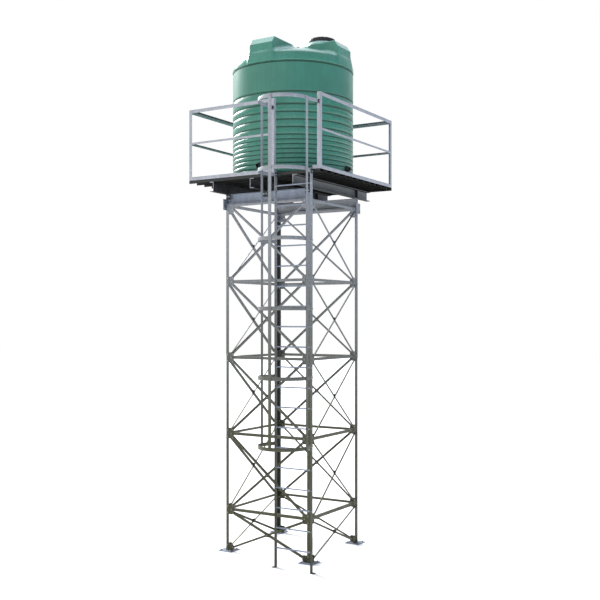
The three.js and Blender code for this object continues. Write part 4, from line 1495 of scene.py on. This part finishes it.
    def table(self, radius: Array, z: Array) -> Array:
        """Signed distance to the dome's outline, looked up in a fine table."""
        step = 4 * MM
        rs, zs = np.arange(0, 1.4, step), np.arange(-0.12, 0.62, step)
        if not hasattr(self, "_table"):
            skirt = [(0, -0.3), (self.radius - 4 * MM, -0.3)]
            profile = np.concatenate([skirt, self.roof_profile()])
            grid_r, grid_z = np.meshgrid(rs, zs, indexing="ij")
            self._table = polygon_distance(profile, grid_r, grid_z)
        i = np.clip(radius / step, 0, len(rs) - 2.001)
        j = np.clip((z - zs[0]) / step, 0, len(zs) - 2.001)
        a, b = i.astype(int), j.astype(int)
        u, v = i - a, j - b
        t = self._table
        return ((t[a, b] * (1 - u) + t[a + 1, b] * u) * (1 - v)
                + (t[a, b + 1] * (1 - u) + t[a + 1, b + 1] * u) * v)

    def shell(self, x: Array, y: Array, z: Array) -> Array:
        """Signed distance to the roof as a shell, open below and at the manhole."""
        outer = self.field(x, y, z)
        inner = outer + self.roof_wall
        hole = np.hypot(x - self.neck[0], y) - self.manhole
        return np.maximum.reduce([outer, -inner, -z, -np.maximum(hole, 0.25 - z)])

    def roof_surface(self) -> Surface:
        """The roof's skin, found on a grid where the shell's distance changes sign."""
        reach = self.radius + 2 * self.grid
        xs = np.arange(-reach, reach + self.grid, self.grid)
        zs = np.arange(-2 * self.grid, self.neck[2] + 3 * self.grid, self.grid) + 0.5 * self.grid
        surface = level_surface(self.shell, xs, xs, zs)
        for _ in range(2):
            value, slope = self.gradient(surface.points)
            surface.points -= 0.8 * value[:, None] * slope
        self.roof_normals = self.gradient(surface.points)[1]
        return surface.moved(self.centre + Z * self.rim)

    def gradient(self, points: Array, step: float = 1.5 * MM) -> tuple[Array, Array]:
        """Value of the shell's distance at points, and the unit vector along which it grows."""
        ends = points[None] + step * np.concatenate([np.eye(3), -np.eye(3)])[:, None]
        values = self.shell(ends[..., 0], ends[..., 1], ends[..., 2])
        slope = (values[:3] - values[3:]).T
        return values.mean(0), slope / np.maximum(np.linalg.norm(slope, axis=1), 1e-9)[:, None]

    def lid_surface(self) -> Surface:
        """The screw lid: a ribbed skirt, a stepped top and eight grips.

        Returns:
            A revolved profile whose skirt ripples by 2.5 mm, 36 times round, and whose raised
            ring is notched eight times.
        """
        low, high = box_of("tank_lid")
        r, h = (high[0] - low[0]) / 2, high[2] - low[2]
        profile = np.array([
            (0, h - 12 * MM), (r - 14 * MM, h - 12 * MM), (r - 8 * MM, 0), (r - 1 * MM, 0),
            (r, 3 * MM), (r, h - 22 * MM), (r - 4 * MM, h - 15 * MM), (r - 14 * MM, h - 10 * MM),
            (r - 34 * MM, h - 8 * MM), (r - 38 * MM, h), (r - 62 * MM, h), (r - 66 * MM, h - 8 * MM),
            (r - 120 * MM, h - 7 * MM), (r - 124 * MM, h - 2 * MM), (r - 150 * MM, h - 2 * MM),
            (0, h - 2 * MM)])

        def reach(angle: Array, row: Array) -> Array:
            skirt = (row >= 3) & (row <= 6)
            ripple = -2.5 * MM * (0.5 + 0.5 * np.cos(36 * angle)) ** 3
            ring = (row == 9) | (row == 10)
            notch = np.clip(np.cos(8 * angle) * 4 - 2.6, 0, 1)
            return np.where(skirt, ripple, 0) + np.where(ring, 8 * MM * notch * np.where(
                row == 9, -1, 1), 0)

        middle = (low + high) / 2
        return revolved(profile, 288, reach).moved((middle[0], middle[1], low[2]))

    def vent_surface(self) -> Surface:
        """The small mushroom vent on the dome: a stem under a rounded cap."""
        low, high = box_of("tank_vent")
        r, h = (high[0] - low[0]) / 2, high[2] - low[2]
        turn = np.linspace(0, QUARTER, 7)
        edge, stem = 5 * MM, 0.62 * r
        cap = np.stack([(r - edge) + edge * np.cos(turn), h - edge + edge * np.sin(turn)], 1)
        profile = np.concatenate([
            [(0, 0), (stem, 0), (stem, h - 16 * MM), (r, h - 14 * MM)], cap, [(0, h)]])
        middle = (low + high) / 2
        return revolved(profile, 48).moved((middle[0], middle[1], low[2]))

    def outlet_surface(self, node: str, out: Array) -> Surface:
        """A flanged outlet: a flange with a rounded rim, a hexagon collar and a ringed spigot.

        Args:
            node: The outlet's node.
            out: The way that it points.

        Returns:
            A revolved profile; on the collar's rows the radius is that of a hexagon,
            apothem / cos(angle from the nearest flat's middle).
        """
        low, high = box_of(node)
        spans = high - low
        run = int(np.argmax(np.abs(out)))
        length, r = spans[run], spans[2] / 2
        bore, spigot = 25 * MM, 31 * MM
        rings = np.arange(6)
        along = np.repeat(length - 22 * MM + 3.2 * MM * rings, 2) + np.tile([0, 1.6 * MM], 6)
        thread = np.stack([np.tile([spigot + 1 * MM, spigot - 0.6 * MM], 6), along], 1)
        profile = np.concatenate([
            [(bore, 0), (r, 0), (r, 8 * MM), (r - 1.5 * MM, 12 * MM), (r - 5 * MM, 14 * MM),
             (38 * MM, 15 * MM), (38 * MM, 16 * MM), (38 * MM, 30 * MM), (36 * MM, 33 * MM),
             (spigot, 34 * MM)], thread, [(spigot, length - 1 * MM), (spigot - 1 * MM, length),
                                          (bore, length)]])

        def reach(angle: Array, row: Array) -> Array:
            flat = np.abs(np.mod(angle, math.pi / 3) - math.pi / 6)
            hexagon = 38 * MM / np.cos(math.pi / 6 - flat) - 38 * MM
            return np.where((row >= 6) & (row <= 8), hexagon, 0)

        middle = (low + high) / 2
        origin = np.where(np.abs(out) > 0, np.where(out > 0, low, high), middle)
        return revolved(profile, 72, reach).mapped(origin, directions(out[None])[0])

    def build(self) -> None:
        """Makes and dresses every piece of the tank."""
        green, black = self.finishes.green, self.finishes.black
        wall = self.wall_surface()
        make("tank_wall_ribbed", wall, green, ["tank_wall"], crease=40,
             depth=self.wall_groove_shade)
        roof = self.roof_surface()
        make("tank_roof_moulded", roof, green, ["tank_roof"], normals=self.roof_normals)
        make("tank_lid_screw", self.lid_surface(), black, ["tank_lid"])
        make("tank_vent_cap", self.vent_surface(), black, ["tank_vent"])
        for side in (Side.FRONT, Side.RIGHT):
            node = "tank_outlet_" + side.label
            make(node + "_fitting", self.outlet_surface(node, side.outward), black,
                 [node])
        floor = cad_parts["tank_floor"]
        floor.material_slots[0].link = "OBJECT"
        floor.material_slots[0].material = green


def polygon_distance(outline: Array, x: Array, y: Array) -> Array:
    """Signed distance in a plane to a closed outline, negative inside.

    Args:
        outline: Its corners.
        x: First coordinate of the points.
        y: Second coordinate.

    Returns:
        The least distance to a side, with the sign turned where a ray to +x crosses an odd
        number of sides.
    """
    best = np.full(np.shape(x), np.inf)
    inside = np.zeros(np.shape(x), bool)
    for p, q in zip(outline, np.roll(outline, -1, 0)):
        run = q - p
        dx, dy = x - p[0], y - p[1]
        share = np.clip((dx * run[0] + dy * run[1]) / (run @ run), 0, 1)
        best = np.minimum(best, (dx - share * run[0]) ** 2 + (dy - share * run[1]) ** 2)
        if run[1] != 0:
            between = (p[1] <= y) != (q[1] <= y)
            inside ^= between & (dx * run[1] < dy * run[0]) if run[1] > 0 else (
                between & (dx * run[1] > dy * run[0]))
    return np.where(inside, -1, 1) * np.sqrt(best)


def smooth_min(a: Array, b: Array, width: float) -> Array:
    """Smooth minimum: the lesser, less width h^2 / 4 with h = 1 - |a - b| / width, down to 0."""
    near = np.clip(1 - np.abs(a - b) / width, 0, None)
    return np.minimum(a, b) - width * near ** 2 / 4


def smooth_max(a: Array, b: Array, width: float) -> Array:
    """Smooth maximum, the mirror of the smooth minimum."""
    return -smooth_min(-a, -b, width)


def level_surface(distance: Callable[[Array, Array, Array], Array], xs: Array, ys: Array,
                  zs: Array) -> Surface:
    """The surface where a distance is zero, as quads between the cells that it crosses.

    Args:
        distance: Signed distance of arrays of x, y and z.
        xs: Grid lines along x.
        ys: Grid lines along y.
        zs: Grid lines along z.

    Returns:
        One point in each crossed cell, at the mean of the crossings on its twelve edges, and a
        quad round each grid edge whose ends have different signs.
    """
    grid = np.meshgrid(xs, ys, zs, indexing="ij")
    value = distance(*grid)
    inside = value < 0
    shape = tuple(n - 1 for n in value.shape)
    total, count = np.zeros(shape + (3,)), np.zeros(shape)
    lines = (xs, ys, zs)
    for axis in range(3):
        a = [slice(None)] * 3
        b = [slice(None)] * 3
        a[axis], b[axis] = slice(None, -1), slice(1, None)
        v0, v1 = value[tuple(a)], value[tuple(b)]
        crossed = (v0 < 0) != (v1 < 0)
        share = np.where(crossed, v0 / np.where(crossed, v0 - v1, 1), 0)
        where = np.stack([g[tuple(a)] for g in grid], -1)
        step = (lines[axis][1] - lines[axis][0]) * share
        where[..., axis] += step
        where = where * crossed[..., None]
        u, w = [k for k in range(3) if k != axis]
        for shift_u in (0, 1):
            for shift_w in (0, 1):
                cut = [slice(None)] * 3
                cut[u] = slice(shift_u, value.shape[u] - 1 + shift_u)
                cut[w] = slice(shift_w, value.shape[w] - 1 + shift_w)
                total += where[tuple(cut)]
                count += crossed[tuple(cut)]
    active = count > 0
    index = np.full(shape, -1)
    index[active] = np.arange(int(active.sum()))
    points = total[active] / count[active][:, None]
    faces = []
    for axis in range(3):
        u, w = (axis + 1) % 3, (axis + 2) % 3
        core = [slice(1, -1)] * 3
        core[axis] = slice(None, -1)
        nxt = [slice(1, -1)] * 3
        nxt[axis] = slice(1, None)
        first, second = inside[tuple(core)], inside[tuple(nxt)]
        i, j, k = np.nonzero(first != second)
        leaving = first[i, j, k]
        cell = np.stack([i, j, k], 1)
        cell[:, [u, w]] += 1
        ring = []
        for du, dw in ((-1, -1), (0, -1), (0, 0), (-1, 0)):
            corner = cell.copy()
            corner[:, u] += du
            corner[:, w] += dw
            ring.append(index[tuple(corner.T)])
        quads = np.stack(ring, 1)
        faces.append(np.where(leaving[:, None], quads, quads[:, ::-1]))
    return Surface(points, [np.concatenate(faces)])


# ------------------------------------------------------------------ the studio


@dataclass
class Studio:
    """A pale floor, a bright room, one broad soft light and the camera."""

    tower_y: float
    camera: tuple[float, float, float] = (7.336, -11.949, 3.438)
    azimuth: float = math.radians(31.546)
    lens: float = 55.8
    shift: tuple[float, float] = (0.0115, 0.0305)
    key_azimuth: float = math.radians(-110)
    key_height: float = math.radians(31)
    key_strength: float = 6.5
    key_spread: float = math.radians(24)
    key_colour: str = "#f8f8fa"
    floor_reach: float = 60.0
    far: float = 200.0                   # the camera sees no further
    room_strength: float = 1.0
    room_side: str = "#b4c4dc"           # the room's cooler, dimmer side, on the right

    def build(self) -> None:
        """Makes the floor, the light, the room and the camera."""
        scene = bpy.context.scene
        scene.view_settings.view_transform = "Standard"
        world = bpy.data.worlds.new("bright_room")
        scene.world = world
        world.use_nodes = True
        tree = world.node_tree
        tree.nodes.clear()
        way = add_node(tree, "SeparateXYZ", {0: add_node(tree, "TexCoord").outputs["Normal"]})
        side = add_node(tree, "MapRange", {
            "Value": way.outputs["X"], "From Min": 0.15, "From Max": -0.75})
        tint = add_node(tree, "Mix", {
            0: side.outputs[0], 6: (1.0, 1.0, 1.0, 1.0), 7: linear(self.room_side)},
            data_type="RGBA")
        room = add_node(tree, "Background", {
            "Color": tint.outputs[2], "Strength": self.room_strength})
        add_node(tree, "OutputWorld", {0: room.outputs[0]})
        reach = self.floor_reach
        mesh = bpy.data.meshes.new("floor")
        mesh.from_pydata([(-reach, -reach, 0), (reach, -reach, 0), (reach, reach, 0),
                          (-reach, reach, 0)], [], [(0, 1, 2, 3)])
        mesh.materials.append(PaintedFloor().build())
        floor = bpy.data.objects.new("floor", mesh)
        scene.collection.objects.link(floor)
        light = bpy.data.lights.new("key", "SUN")
        light.energy = self.key_strength
        light.angle = self.key_spread
        light.color = linear(self.key_colour)[:3]
        key = bpy.data.objects.new("key", light)
        key.rotation_euler = (QUARTER - self.key_height, 0, self.key_azimuth)
        scene.collection.objects.link(key)
        lens = bpy.data.cameras.new("camera")
        lens.lens, lens.sensor_width = self.lens, 36.0
        lens.shift_x, lens.shift_y = self.shift
        lens.clip_end = self.far
        eye = bpy.data.objects.new("camera", lens)
        eye.location = (self.camera[0], self.camera[1] + self.tower_y, self.camera[2])
        eye.rotation_euler = (QUARTER, 0, self.azimuth)
        scene.collection.objects.link(eye)
        scene.camera = eye


def main() -> None:
    """Builds the tower's pieces in order, then the studio."""
    logging.basicConfig(level=logging.INFO, format="%(name)s %(message)s")
    finishes = Finishes()
    stand = Stand(finishes)
    stand.build()
    Grillage(finishes, stand).build()
    Platform(finishes).build()
    CatLadder(finishes).build()
    Tank(finishes).build()
    Studio(float(stand.centre[1])).build()


if __name__ == "__main__":
    main()
